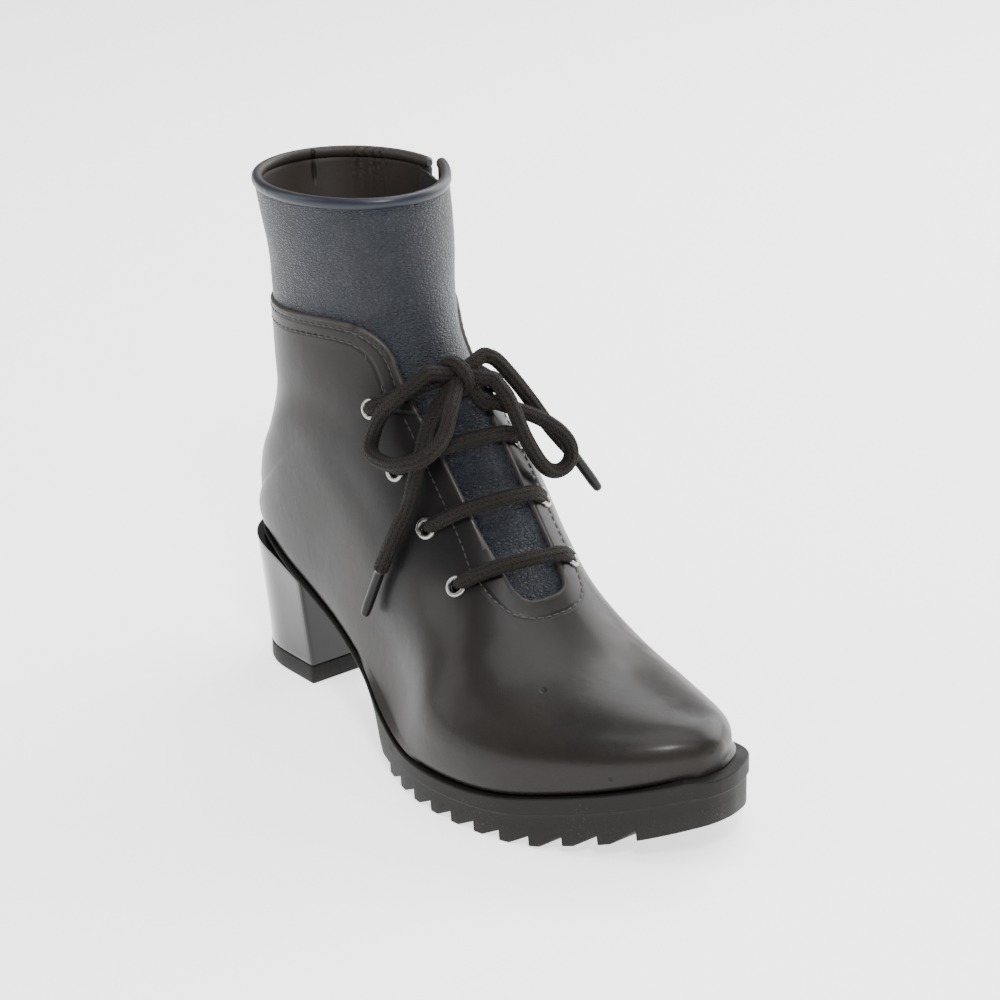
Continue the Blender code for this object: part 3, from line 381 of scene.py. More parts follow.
@dataclass
class Pattern:
    """The lines that the leather is cut along, as signed distances on the last."""

    instep_top: Row = (82.0, 138.0)
    instep_slope: float = 48.6
    quarter_line: Tuple[Row, ...] = (
        (-60.0, 154.0), (2.0, 155.0), (40.0, 157.5), (54.0, 157.0), (61.0, 154.5), (66.5, 150.0),
        (70.0, 145.0), (73.0, 139.5), (75.5, 134.0),
    )
    throat: Tuple[Row, ...] = (
        (-60.0, 14.0), (-8.0, 13.0), (24.0, 11.0), (72.0, 10.8), (83.0, 9.8), (87.0, 7.5), (88.5, 3.5),
    )
    throat_centre: float = -1.2
    throat_reach: float = -12.0
    zip_top: Row = (38.0, 199.0)
    zip_bottom: Row = (27.0, 80.0)
    slot_width: float = 9.0
    peak_height: float = 2.6
    peak_reach: float = 13.0
    elsewhere: float = 60.0

    def collar_peak(self, points: Array) -> Array:
        """How far the collar's corner stands up in front of the zip.

        Args:
            points: points near the collar.

        Returns:
            The rise of each point along z.
        """
        front = ease(points[:, 0], self.zip_top[0] - 1.0, self.zip_top[0] + 3.0)
        away = (points[:, 0] - self.zip_top[0] - 6.0) / self.peak_reach
        rise = self.peak_height * front * np.exp(-np.maximum(away, 0.0) ** 2)
        return rise * ease(points[:, 2], 178.0, 199.0) * (points[:, 1] > 0.0)

    def instep(self) -> Tuple[Array, Array, Array]:
        """Read the instep's plane.

        Returns:
            Its top point, the direction down it and the direction out of it.
        """
        slope = math.radians(self.instep_slope)
        return (
            np.array([self.instep_top[0], 0.0, self.instep_top[1]]),
            np.array([math.cos(slope), 0.0, -math.sin(slope)]),
            np.array([math.sin(slope), 0.0, math.cos(slope)]),
        )

    def quarter(self, points: Array) -> Array:
        """Distance below the quarters' top line.

        Args:
            points: points on the last.

        Returns:
            The signed distance of each, in millimetres.
        """
        table = np.array(self.quarter_line)
        at = np.linspace(0, len(table) - 1, 8 * len(table))
        line = np.stack([smooth(table[:, 0], at), smooth(table[:, 1], at)], 1)
        line = np.vstack([line, [[400.0, self.quarter_line[-1][1]]]])
        flat = points[:, [0, 2]]
        height = np.interp(flat[:, 0], line[:, 0], line[:, 1])
        return np.where(flat[:, 1] < height, 1.0, -1.0) * line_distance(flat, line)

    def opening(self, points: Array) -> Array:
        """Distance outside the throat's edge.

        Args:
            points: points on the last.

        Returns:
            The signed distance of each, in millimetres.
        """
        origin, down, out = self.instep()
        table = np.array(self.throat)
        at = np.linspace(0, len(table) - 1, 6 * len(table))
        reach, half = smooth(table[:, 0], at), smooth(table[:, 1], at)
        outline = np.vstack([
            np.stack([reach, half], 1), np.stack([reach[::-1], -half[::-1]], 1),
        ])
        flat = np.stack([(points - origin) @ down, points[:, 1] - self.throat_centre], 1)
        inside = np.abs(flat[:, 1]) < np.interp(flat[:, 0], reach, half, left=0.0, right=0.0)
        distance = line_distance(flat, outline, closed=True)
        behind = (points - origin) @ out < self.throat_reach
        return np.where(behind, self.elsewhere, np.where(inside, -distance, distance))

    def slot(self, points: Array) -> Array:
        """Distance outside the zip's slot on the medial side.

        Args:
            points: points on the last.

        Returns:
            The signed distance of each, in millimetres.
        """
        top, bottom = np.array(self.zip_top), np.array(self.zip_bottom)
        line = np.stack([bottom, top + (top - bottom)])
        distance = line_distance(points[:, [0, 2]], line) - self.slot_width / 2
        return np.where(points[:, 1] < 0, self.elsewhere, distance)


@dataclass
class Crease:
    """A soft trough or ridge: a smooth line on the leather, its half width and its depth."""

    route: Tuple[Row, ...]
    width: float
    depth: float

    def push(self, points: Array) -> Array:
        """How far the crease moves points outward.

        Args:
            points: points on the leather.

        Returns:
            The move of each, in millimetres.
        """
        line = smooth_route(self.route, 3.0)
        best = np.full(len(points), 1e9)
        share = np.zeros(len(points))
        for k, (a, b) in enumerate(zip(line[:-1], line[1:])):
            run = b - a
            t = np.clip((points - a) @ run / max(float(run @ run), 1e-9), 0.0, 1.0)
            distance = np.linalg.norm(points - a - t[:, None] * run, axis=1)
            nearer = distance < best
            best = np.where(nearer, distance, best)
            share = np.where(nearer, (k + t) / (len(line) - 1), share)
        fade = np.sin(np.clip(share, 0.02, 0.98) * math.pi) ** 0.6
        return self.depth * fade * np.exp(-((best / self.width) ** 2))


def new_mesh(name: str, points: Array, faces: Sequence[Sequence[int]], layers: Optional[Dict[str, Array]] = None,
             angle: float = 40.0) -> bpy.types.Mesh:
    """Make a smooth-shaded mesh from points in millimetres.

    Args:
        name: the mesh's name.
        points: its points.
        faces: its faces.
        layers: named values for each point, kept as attributes.
        angle: edges sharper than this many degrees stay sharp.

    Returns:
        The mesh.
    """
    mesh = bpy.data.meshes.new(name)
    mesh.from_pydata((np.asarray(points) * MM).tolist(), [], [list(map(int, face)) for face in faces])
    for key, values in (layers or {}).items():
        layer = mesh.attributes.new(key, "FLOAT", "POINT")
        layer.data.foreach_set("value", np.asarray(values, np.float32))
    mesh.polygons.foreach_set("use_smooth", [True] * len(mesh.polygons))
    mesh.set_sharp_from_angle(angle=math.radians(angle))
    mesh.update()
    return mesh


def lift_points(mesh: bpy.types.Mesh, rise: Callable[[Array], Array]) -> None:
    """Lift a mesh's points along z.

    Args:
        mesh: the mesh.
        rise: gives each point's rise, all in millimetres.
    """
    points = np.empty(3 * len(mesh.vertices))
    mesh.vertices.foreach_get("co", points)
    points = points.reshape(-1, 3)
    points[:, 2] += rise(points / MM) * MM
    mesh.vertices.foreach_set("co", points.ravel())
    mesh.update()


def add_piece(name: str, mesh: bpy.types.ID, finish: Sequence[Material], nodes: Sequence[str] = (),
              body: str = BODY) -> Piece:
    """Add a piece to the scene, riding on a body.

    Args:
        name: the piece's name.
        mesh: its mesh or curve.
        finish: its materials.
        nodes: the solids that it stands for.
        body: the body that it rides on.

    Returns:
        The object.
    """
    made = bpy.data.objects.new(name, mesh)
    bpy.context.scene.collection.objects.link(made)
    for material in finish:
        mesh.materials.append(material)
    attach(made, body)
    if nodes:
        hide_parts(*nodes)
    LOG.info("piece %s: %d faces", name, len(mesh.polygons) if isinstance(mesh, bpy.types.Mesh) else 0)
    return made


@dataclass
class CutSheet:
    """A part of the last's surface, cut along a signed distance."""

    last: LastForm
    values: Array
    starts: Array = field(default=None, repr=False)
    stops: Array = field(default=None, repr=False)
    shares: Array = field(default=None, repr=False)
    faces: Loops = field(default_factory=list, repr=False)

    def cut(self) -> "CutSheet":
        """Keep what lies where the value is positive.

        Returns:
            The sheet itself.
        """
        count = len(self.last.points)
        starts, stops, shares = list(range(count)), list(range(count)), [0.0] * count
        made: Dict[Tuple[int, int], int] = {}
        values = self.values

        def crossing(a: int, b: int) -> int:
            """Find the new point between two old ones.

            Args:
                a: one old point's number.
                b: the other's.

            Returns:
                The new point's number.
            """
            key = (min(a, b), max(a, b))
            if key not in made:
                made[key] = len(starts)
                starts.append(key[0])
                stops.append(key[1])
                shares.append(float(values[key[0]] / (values[key[0]] - values[key[1]])))
            return made[key]

        for cell in self.last.cells():
            keep = [values[i] > 0 for i in cell]
            if all(keep):
                self.faces.append(cell)
                continue
            if not any(keep):
                continue
            loop = []
            for a, b, here, there in zip(cell, cell[1:] + cell[:1], keep, keep[1:] + keep[:1]):
                if here:
                    loop.append(a)
                if here != there:
                    loop.append(crossing(a, b))
            if len(loop) > 2:
                self.faces.append(loop)
        self.starts, self.stops, self.shares = np.array(starts), np.array(stops), np.array(shares)
        used = np.unique(np.concatenate([np.array(face) for face in self.faces]))
        renumber = np.full(len(starts), -1)
        renumber[used] = np.arange(len(used))
        self.faces = [[int(renumber[i]) for i in face] for face in self.faces]
        self.starts, self.stops, self.shares = self.starts[used], self.stops[used], self.shares[used]
        return self

    def at(self, values: Array) -> Array:
        """Values of the last's points, read at the sheet's points."""
        share = self.shares if values.ndim == 1 else self.shares[:, None]
        return values[self.starts] * (1 - share) + values[self.stops] * share

    def border(self) -> List[Tuple[int, int]]:
        """Find the edges with a face on one side only.

        Returns:
            The two point numbers of each, in its face's order.
        """
        seen: Dict[Tuple[int, int], int] = {}
        for face in self.faces:
            for a, b in zip(face, face[1:] + face[:1]):
                seen[(a, b)] = seen.get((a, b), 0) + 1
        return [edge for edge in seen if (edge[1], edge[0]) not in seen]

    def solid(self, name: str, low: float, high: float, push: Array, layers: Dict[str, Array],
              roll: float = 0.5, steps: int = 5) -> bpy.types.Mesh:
        """Make a sheet of leather with rounded edges.

        Args:
            name: the mesh's name.
            low: how far the inner face lies outside the last.
            high: how far the outer face does.
            push: how far each of the last's points moves outward on the outer face.
            layers: values of the last's points, kept as attributes.
            roll: how far the edge bulges.
            steps: faces across the edge.

        Returns:
            The mesh; its inner face has the second material.
        """
        out = self.at(self.last.out)
        outer = self.at(self.last.points + (high + push)[:, None] * self.last.out)
        inner = self.at(self.last.offset(low))
        count = len(outer)
        orient = 1.0
        a, b, c = (outer[self.faces[len(self.faces) // 2][k]] for k in range(3))
        if np.cross(b - a, c - a) @ out[self.faces[len(self.faces) // 2][0]] < 0:
            orient = -1.0
        faces = [face if orient > 0 else face[::-1] for face in self.faces]
        faces += [[i + count for i in (face[::-1] if orient > 0 else face)] for face in self.faces]
        edges = self.border()
        rim = sorted({i for edge in edges for i in edge})
        place = {i: k for k, i in enumerate(rim)}
        aside = np.zeros((len(rim), 3))
        for a, b in edges:
            t = np.cross(outer[b] - outer[a], out[a] + out[b]) * orient
            t /= np.linalg.norm(t) + 1e-9
            aside[place[a]] += t
            aside[place[b]] += t
        aside /= np.linalg.norm(aside, axis=1)[:, None] + 1e-9
        points = [outer, inner]
        start = 2 * count
        centre, half = (outer[rim] + inner[rim]) / 2, (outer[rim] - inner[rim]) / 2
        ring_of = [np.array(rim)]
        for step in range(1, steps):
            turn = math.pi * step / steps
            points.append(centre + half * math.cos(turn) + aside * roll * math.sin(turn))
            ring_of.append(start + np.arange(len(rim)))
            start += len(rim)
        ring_of.append(np.array(rim) + count)
        for a, b in edges:
            for upper, lower in zip(ring_of, ring_of[1:]):
                loop = [upper[place[b]], upper[place[a]], lower[place[a]], lower[place[b]]]
                faces.append(loop if orient > 0 else loop[::-1])
        kept = {}
        for key, values in layers.items():
            own = self.at(values)
            kept[key] = np.concatenate([own, own] + [own[rim]] * (steps - 1))
        mesh = new_mesh(name, np.vstack(points), faces, kept, angle=60.0)
        inside = [0] * len(self.faces) + [1] * len(self.faces)
        inside += [0] * (len(mesh.polygons) - len(inside))
        mesh.polygons.foreach_set("material_index", inside)
        return mesh


@dataclass
class Thread:
    """A row of stitches along a line of equal distance on the last."""

    pitch: float = 3.0
    length: float = 2.3
    radius: float = 0.3
    around: int = 6
    profile: Tuple[Row, ...] = ((-0.5, 0.35), (-0.38, 0.9), (0.0, 1.0), (0.38, 0.9), (0.5, 0.35))

    def lines(self, last: LastForm, values: Array, lift: float) -> List[Tuple[Array, Array]]:
        """Find the lines where a value is zero.

        Args:
            last: the last.
            values: a signed distance for each of its points.
            lift: how far outside the last the line lies.

        Returns:
            For each line its points and its outward directions.
        """
        ends: Dict[Tuple[int, int], Tuple[Array, Array]] = {}
        links: Dict[Tuple[int, int], List[Tuple[int, int]]] = {}
        surface, out = last.offset(lift), last.out
        for cell in last.cells():
            hits = []
            for a, b in zip(cell, cell[1:] + cell[:1]):
                if (values[a] > 0) != (values[b] > 0):
                    key = (min(a, b), max(a, b))
                    t = values[key[0]] / (values[key[0]] - values[key[1]])
                    ends[key] = (
                        surface[key[0]] * (1 - t) + surface[key[1]] * t,
                        out[key[0]] * (1 - t) + out[key[1]] * t,
                    )
                    hits.append(key)
            if len(hits) == 2:
                links.setdefault(hits[0], []).append(hits[1])
                links.setdefault(hits[1], []).append(hits[0])
        found, left = [], set(links)
        while left:
            loose = [key for key in left if len(links[key]) == 1]
            key = min(loose) if loose else min(left)
            chain = [key]
            left.discard(key)
            while True:
                after = [other for other in links[chain[-1]] if other in left]
                if not after:
                    break
                chain.append(after[0])
                left.discard(after[0])
            if len(chain) > 3:
                found.append((
                    np.array([ends[key][0] for key in chain]), np.array([ends[key][1] for key in chain]),
                ))
        return found

    def sew(self, lines: List[Tuple[Array, Array]], keep: Callable[[Array], Array]) -> Tuple[Array, Loops]:
        """Lay stitches along lines.

        Args:
            lines: points and outward directions of each line.
            keep: says for an array of points which of them are sewn.

        Returns:
            The stitches' points and faces.
        """
        points: List[Array] = []
        faces: Loops = []
        turn = np.linspace(0, 2 * math.pi, self.around, endpoint=False)
        stitch = bands(len(self.profile), self.around) + end_faces(len(self.profile), self.around)
        for line, out in lines:
            run = run_along(line)
            count = int(run[-1] / self.pitch)
            if count < 2:
                continue
            for where in (np.arange(count) + 0.5) * run[-1] / count:
                spots = [where - self.length / 2, where, where + self.length / 2]
                ends = np.stack([np.interp(spots, run, line[:, k]) for k in range(3)], 1)
                normal = np.array([np.interp(where, run, out[:, k]) for k in range(3)])
                if not keep(ends[1][None])[0]:
                    continue
                along = ends[2] - ends[0]
                along /= np.linalg.norm(along) + 1e-9
                normal /= np.linalg.norm(normal) + 1e-9
                across = np.cross(along, normal)
                start = sum(len(part) for part in points)
                for share, width in self.profile:
                    sag = -0.25 * (2 * share) ** 2 * self.radius
                    centre = ends[1] + along * share * self.length + normal * (sag + self.radius * 0.35)
                    points.append(
                        centre + self.radius * width * (
                            np.cos(turn)[:, None] * across + np.sin(turn)[:, None] * normal
                        )
                    )
                faces += [[start + i for i in loop] for loop in stitch]
        return np.vstack(points) if points else np.zeros((0, 3)), faces


def tube(path: Array, radii: Array, around: int = 24,
         relief: Optional[Callable[[Array, Array], Array]] = None) -> Part:
    """Make a tube with a turning-free frame.

    Args:
        path: its centreline.
        radii: its radius at each point.
        around: faces around it.
        relief: how far the surface stands out, from the run along it and the turn round it.

    Returns:
        Its points, its faces and its along and around values.
    """
    run = run_along(path)
    tangent = np.gradient(path, axis=0)
    tangent /= np.linalg.norm(tangent, axis=1)[:, None] + 1e-9
    side = np.cross(tangent[0], [0.0, 0.0, 1.0])
    if np.linalg.norm(side) < 0.1:
        side = np.cross(tangent[0], [0.0, 1.0, 0.0])
    turn = np.linspace(0, 2 * math.pi, around, endpoint=False)
    rings, alongs, arounds = [], [], []
    for centre, direction, radius, where in zip(path, tangent, radii, run):
        side = side - direction * (side @ direction)
        side /= np.linalg.norm(side)
        up = np.cross(direction, side)
        reach = np.full(around, float(radius))
        if relief is not None:
            reach = reach + relief(np.full(around, where), turn) * min(1.0, radius)
        rings.append(centre + reach[:, None] * (np.cos(turn)[:, None] * side + np.sin(turn)[:, None] * up))
        alongs.append(np.full(around, where))
        arounds.append(turn)
    faces = bands(len(path), around) + end_faces(len(path), around)
    return np.vstack(rings), faces, {"along": np.concatenate(alongs), "around": np.concatenate(arounds)}


def merged(parts: Sequence[Part]) -> Part:
    """Join several sets of points and faces into one.

    Args:
        parts: the sets, each with its layers.

    Returns:
        One set of points, faces and layers.
    """
    points, faces, start = [], [], 0
    for part, loops, _ in parts:
        points.append(part)
        faces += [[i + start for i in loop] for loop in loops]
        start += len(part)
    layers = {key: np.concatenate([part[2][key] for part in parts]) for key in parts[0][2]}
    return np.vstack(points), faces, layers


class Nodes:
    """A small helper that adds shader nodes and links them."""

    def __init__(self, tree: bpy.types.NodeTree) -> None:
        """Work in one node tree."""
        self.tree = tree

    def add(self, kind: str, values: Optional[Dict[str, object]] = None, **settings: object) -> Node:
        """Add a node.

        Args:
            kind: the node's type.
            values: a value or an output socket for each input, by name or number.
            settings: the node's own settings.

        Returns:
            The node.
        """
        node = self.tree.nodes.new(kind)
        for key, value in settings.items():
            setattr(node, key, value)
        for key, value in (values or {}).items():
            socket = node.inputs[key]
            if isinstance(value, Socket):
                self.tree.links.new(value, socket)
            else:
                socket.default_value = value
        return node

    def math(self, operation: str, first: object, second: object = 0.0, clamp: bool = False) -> Socket:
        """Add a math node and return its value."""
        node = self.add("ShaderNodeMath", {0: first, 1: second}, operation=operation, use_clamp=clamp)
        return node.outputs[0]

    def times(self, first: object, second: object) -> Socket:
        """The product of two values."""
        return self.math("MULTIPLY", first, second)

    def plus(self, first: object, second: object, clamp: bool = False) -> Socket:
        """The sum of two values."""
        return self.math("ADD", first, second, clamp)

    def ramp(self, value: object, low: float, high: float, first: float = 0.0,
             last: float = 1.0) -> Socket:
        """Map a value softly from one range to another.

        Args:
            value: the value's socket.
            low: where the result is first.
            high: where it is last.
            first: the result at and below low.
            last: the result at and above high.

        Returns:
            The result.
        """
        node = self.add(
            "ShaderNodeMapRange",
            {"Value": value, "From Min": low, "From Max": high, "To Min": first, "To Max": last},
            interpolation_type="SMOOTHSTEP",
        )
        return node.outputs["Result"]

    def mix(self, factor: object, first: object, second: object) -> Socket:
        """Mix two colours.

        Args:
            factor: the second colour's share.
            first: a colour or a socket.
            second: a colour or a socket.

        Returns:
            The mixed colour.
        """
        node = self.add("ShaderNodeMix", {0: factor}, data_type="RGBA")
        for number, value in ((6, first), (7, second)):
            if isinstance(value, Socket):
                self.tree.links.new(value, node.inputs[number])
            else:
                node.inputs[number].default_value = (*value, 1.0)
        return node.outputs[2]

    def layer(self, name: str) -> Socket:
        """Read one of the mesh's own layers."""
        return self.add("ShaderNodeAttribute", attribute_name=name).outputs["Fac"]

    def place(self) -> Socket:
        """The piece's own coordinates, in metres."""
        return self.add("ShaderNodeTexCoord").outputs["Object"]

    def noise(self, scale: float, detail: float = 3.0, roughness: float = 0.55) -> Socket:
        """Add a noise value in the piece's own coordinates.

        Args:
            scale: cells in a metre.
            detail: layers of finer noise.
            roughness: how strong the finer layers are.

        Returns:
            The noise value.
        """
        values = {"Vector": self.place(), "Scale": scale, "Detail": detail, "Roughness": roughness}
        return self.add("ShaderNodeTexNoise", values).outputs["Fac"]


def group(name: str, inputs: Sequence[Tuple[str, str, object]], outputs: Sequence[Tuple[str, str]],
          fill: Callable[[Nodes, Node, Node], None]) -> bpy.types.NodeTree:
    """Make a shader node group with named sockets.

    Args:
        name: the group's name.
        inputs: name, socket type and value of each input.
        outputs: name and socket type of each output.
        fill: adds the nodes between the group's input and output.

    Returns:
        The group.
    """
    tree = bpy.data.node_groups.new(name, "ShaderNodeTree")
    for label, kind, value in inputs:
        socket = tree.interface.new_socket(label, in_out="INPUT", socket_type=kind)
        socket.default_value = value
    for label, kind in outputs:
        tree.interface.new_socket(label, in_out="OUTPUT", socket_type=kind)
    nodes = Nodes(tree)
    source = nodes.add("NodeGroupInput")
    target = nodes.add("NodeGroupOutput")
    fill(nodes, source, target)
    return tree


class Effects:
    """The surface effects that several finishes share, each built once."""

    def __init__(self) -> None:
        """Build the shared node groups."""
        self.grain = group(
            "hide_grain",
            [
                ("Cell Size", "NodeSocketFloat", 1.5), ("Depth", "NodeSocketFloat", 1.0),
                ("Fine", "NodeSocketFloat", 0.3), ("Stretch", "NodeSocketFloat", 1.0),
            ],
            [("Height", "NodeSocketFloat"), ("Valley", "NodeSocketFloat")],
            self.fill_grain,
        )
        self.groove = group(
            "sewn_groove",
            [
                ("Distance", "NodeSocketFloat", 0.0), ("Inset", "NodeSocketFloat", 2.0),
                ("Width", "NodeSocketFloat", 1.2),
            ],
            [("Mask", "NodeSocketFloat")],
            self.fill_groove,
        )
        self.cloud = group(
            "uneven_tone",
            [("Scale", "NodeSocketFloat", 20.0), ("Low", "NodeSocketFloat", 0.35), ("High", "NodeSocketFloat", 0.7)],
            [("Mask", "NodeSocketFloat")],
            self.fill_cloud,
        )
        self.dust = group(
            "settled_dust",
            [("Amount", "NodeSocketFloat", 0.3), ("Speck Size", "NodeSocketFloat", 0.6)],
            [("Mask", "NodeSocketFloat")],
            self.fill_dust,
        )

    @staticmethod
    def fill_grain(nodes: Nodes, source: Node, target: Node) -> None:
        """Raised cells with soft valleys and a fine grain on them.

        Args:
            nodes: the group's nodes.
            source: its input node.
            target: its output node.
        """
        place = nodes.place()
        parts = nodes.add("ShaderNodeSeparateXYZ", {0: place})
        high = nodes.times(parts.outputs[2], source.outputs["Stretch"])
        where = nodes.add("ShaderNodeCombineXYZ", {0: parts.outputs[0], 1: parts.outputs[1], 2: high}).outputs[0]
        bend = nodes.add("ShaderNodeTexNoise", {"Vector": where, "Scale": 260.0, "Detail": 2.0}).outputs["Color"]
        shift = nodes.add("ShaderNodeVectorMath", {0: bend, "Scale": 0.0011}, operation="SCALE").outputs[0]
        moved = nodes.add("ShaderNodeVectorMath", {0: where, 1: shift}, operation="ADD").outputs[0]
        scale = nodes.math("DIVIDE", 1000.0, source.outputs["Cell Size"])
        cells = nodes.add(
            "ShaderNodeTexVoronoi", {"Vector": moved, "Scale": scale}, feature="DISTANCE_TO_EDGE",
        ).outputs["Distance"]
        dome = nodes.ramp(cells, 0.0, 0.34)
        small = nodes.add(
            "ShaderNodeTexVoronoi", {"Vector": moved, "Scale": nodes.times(scale, 2.7)},
            feature="DISTANCE_TO_EDGE",
        ).outputs["Distance"]
        fine = nodes.times(nodes.ramp(small, 0.0, 0.3), source.outputs["Fine"])
        height = nodes.times(nodes.plus(dome, fine), source.outputs["Depth"])
        nodes.tree.links.new(height, target.inputs["Height"])
        nodes.tree.links.new(nodes.math("SUBTRACT", 1.0, dome), target.inputs["Valley"])

    @staticmethod
    def fill_groove(nodes: Nodes, source: Node, target: Node) -> None:
        """A soft line at an inset from an edge.

        Args:
            nodes: the group's nodes.
            source: its input node.
            target: its output node.
        """
        away = nodes.math("ABSOLUTE", nodes.math("SUBTRACT", source.outputs["Distance"], source.outputs["Inset"]))
        share = nodes.math("DIVIDE", away, source.outputs["Width"])
        nodes.tree.links.new(nodes.ramp(share, 0.0, 1.0, 1.0, 0.0), target.inputs["Mask"])

    @staticmethod
    def fill_cloud(nodes: Nodes, source: Node, target: Node) -> None:
        """Broad uneven tone.

        Args:
            nodes: the group's nodes.
            source: its input node.
            target: its output node.
        """
        where = nodes.place()
        tone = nodes.add(
            "ShaderNodeTexNoise", {"Vector": where, "Scale": source.outputs["Scale"], "Detail": 4.0},
        ).outputs["Fac"]
        mapped = nodes.add(
            "ShaderNodeMapRange",
            {"Value": tone, "From Min": source.outputs["Low"], "From Max": source.outputs["High"]},
        ).outputs["Result"]
        nodes.tree.links.new(mapped, target.inputs["Mask"])

    @staticmethod
    def fill_dust(nodes: Nodes, source: Node, target: Node) -> None:
        """Small specks of dust, in patches.

        Args:
            nodes: the group's nodes.
            source: its input node.
            target: its output node.
        """
        where = nodes.place()
        scale = nodes.math("DIVIDE", 1000.0, source.outputs["Speck Size"])
        speck = nodes.add("ShaderNodeTexNoise", {"Vector": where, "Scale": scale, "Detail": 2.0}).outputs["Fac"]
        patch = nodes.add("ShaderNodeTexNoise", {"Vector": where, "Scale": 60.0, "Detail": 3.0}).outputs["Fac"]
        both = nodes.times(nodes.ramp(speck, 0.6, 0.75), nodes.ramp(patch, 0.4, 0.7))
        nodes.tree.links.new(nodes.times(both, source.outputs["Amount"]), target.inputs["Mask"])


class Surface(Nodes):
    """A material's nodes, with its shader and the shared effects."""

    def __init__(self, material: Material, effects: Effects) -> None:
        """Work in a material that has a Principled BSDF.

        Args:
            material: the material to work in.
            effects: the shared node groups.
        """
        super().__init__(material.node_tree)
        self.shader = material.node_tree.nodes["Principled BSDF"]
        self.effects = effects

    def use(self, effect: bpy.types.NodeTree, values: Dict[str, object]) -> Node:
        """Place a shared effect with its own values."""
        return self.add("ShaderNodeGroup", values, node_tree=effect)

    def feed(self, name: str, value: Socket) -> None:
        """Link a value to one of the shader's inputs."""
        self.tree.links.new(value, self.shader.inputs[name])

    def away(self, where: Socket, spot: Row) -> Socket:
        """The distance from a spot, in metres."""
        return self.add("ShaderNodeVectorMath", {0: where, 1: spot}, operation="DISTANCE").outputs["Value"]

    def bump(self, height: object, distance: float, normal: object = None,
             strength: float = 1.0) -> Socket:
        """Feed a height into the shader's normal.

        Args:
            height: the height's socket.
            distance: metres that a height of 1 stands out.
            normal: a normal to build on.
            strength: the bump's strength.

        Returns:
            The bumped normal.
        """
        node = self.add("ShaderNodeBump", {"Height": height, "Distance": distance, "Strength": strength})
        if normal is not None:
            self.tree.links.new(normal, node.inputs["Normal"])
        self.feed("Normal", node.outputs["Normal"])
        return node.outputs["Normal"]


@dataclass(frozen=True)
class Finish:
    """A finish: its colour, gloss and coat; a subclass adds its own detail."""

    name: str
    colour: Row
    roughness: float = 0.5
    metallic: float = 0.0
    coat: float = 0.0
    coat_roughness: float = 0.1
    specular: float = 0.5

    def shade(self, factor: float) -> Row:
        """The finish's colour, lighter or darker by a factor."""
        return tuple(factor * value for value in self.colour)

    def make(self, effects: Effects) -> Material:
        """Build the material.

        Args:
            effects: the shared node groups.

        Returns:
            The material.
        """
        made = bpy.data.materials.new(self.name)
        made.use_nodes = True
        surface = Surface(made, effects)
        for name, value in (
            ("Base Color", (*self.colour, 1.0)), ("Roughness", self.roughness), ("Metallic", self.metallic),
            ("Coat Weight", self.coat), ("Coat Roughness", self.coat_roughness),
            ("Specular IOR Level", self.specular),
        ):
            surface.shader.inputs[name].default_value = value
        self.detail(surface)
        return made

    def detail(self, nodes: Surface) -> None:
        """Add fine unevenness to the colour, the gloss and the surface.

        Args:
            nodes: the material's nodes.
        """
        tone = nodes.mix(nodes.noise(90.0, 4.0), self.shade(0.75), self.shade(1.25))
        nodes.feed("Base Color", tone)
        gloss = nodes.ramp(nodes.noise(140.0), 0.3, 0.7, 0.9 * self.roughness, min(1.0, 1.15 * self.roughness))
        nodes.feed("Roughness", gloss)
        nodes.bump(nodes.noise(1500.0, 3.0), 0.00003)


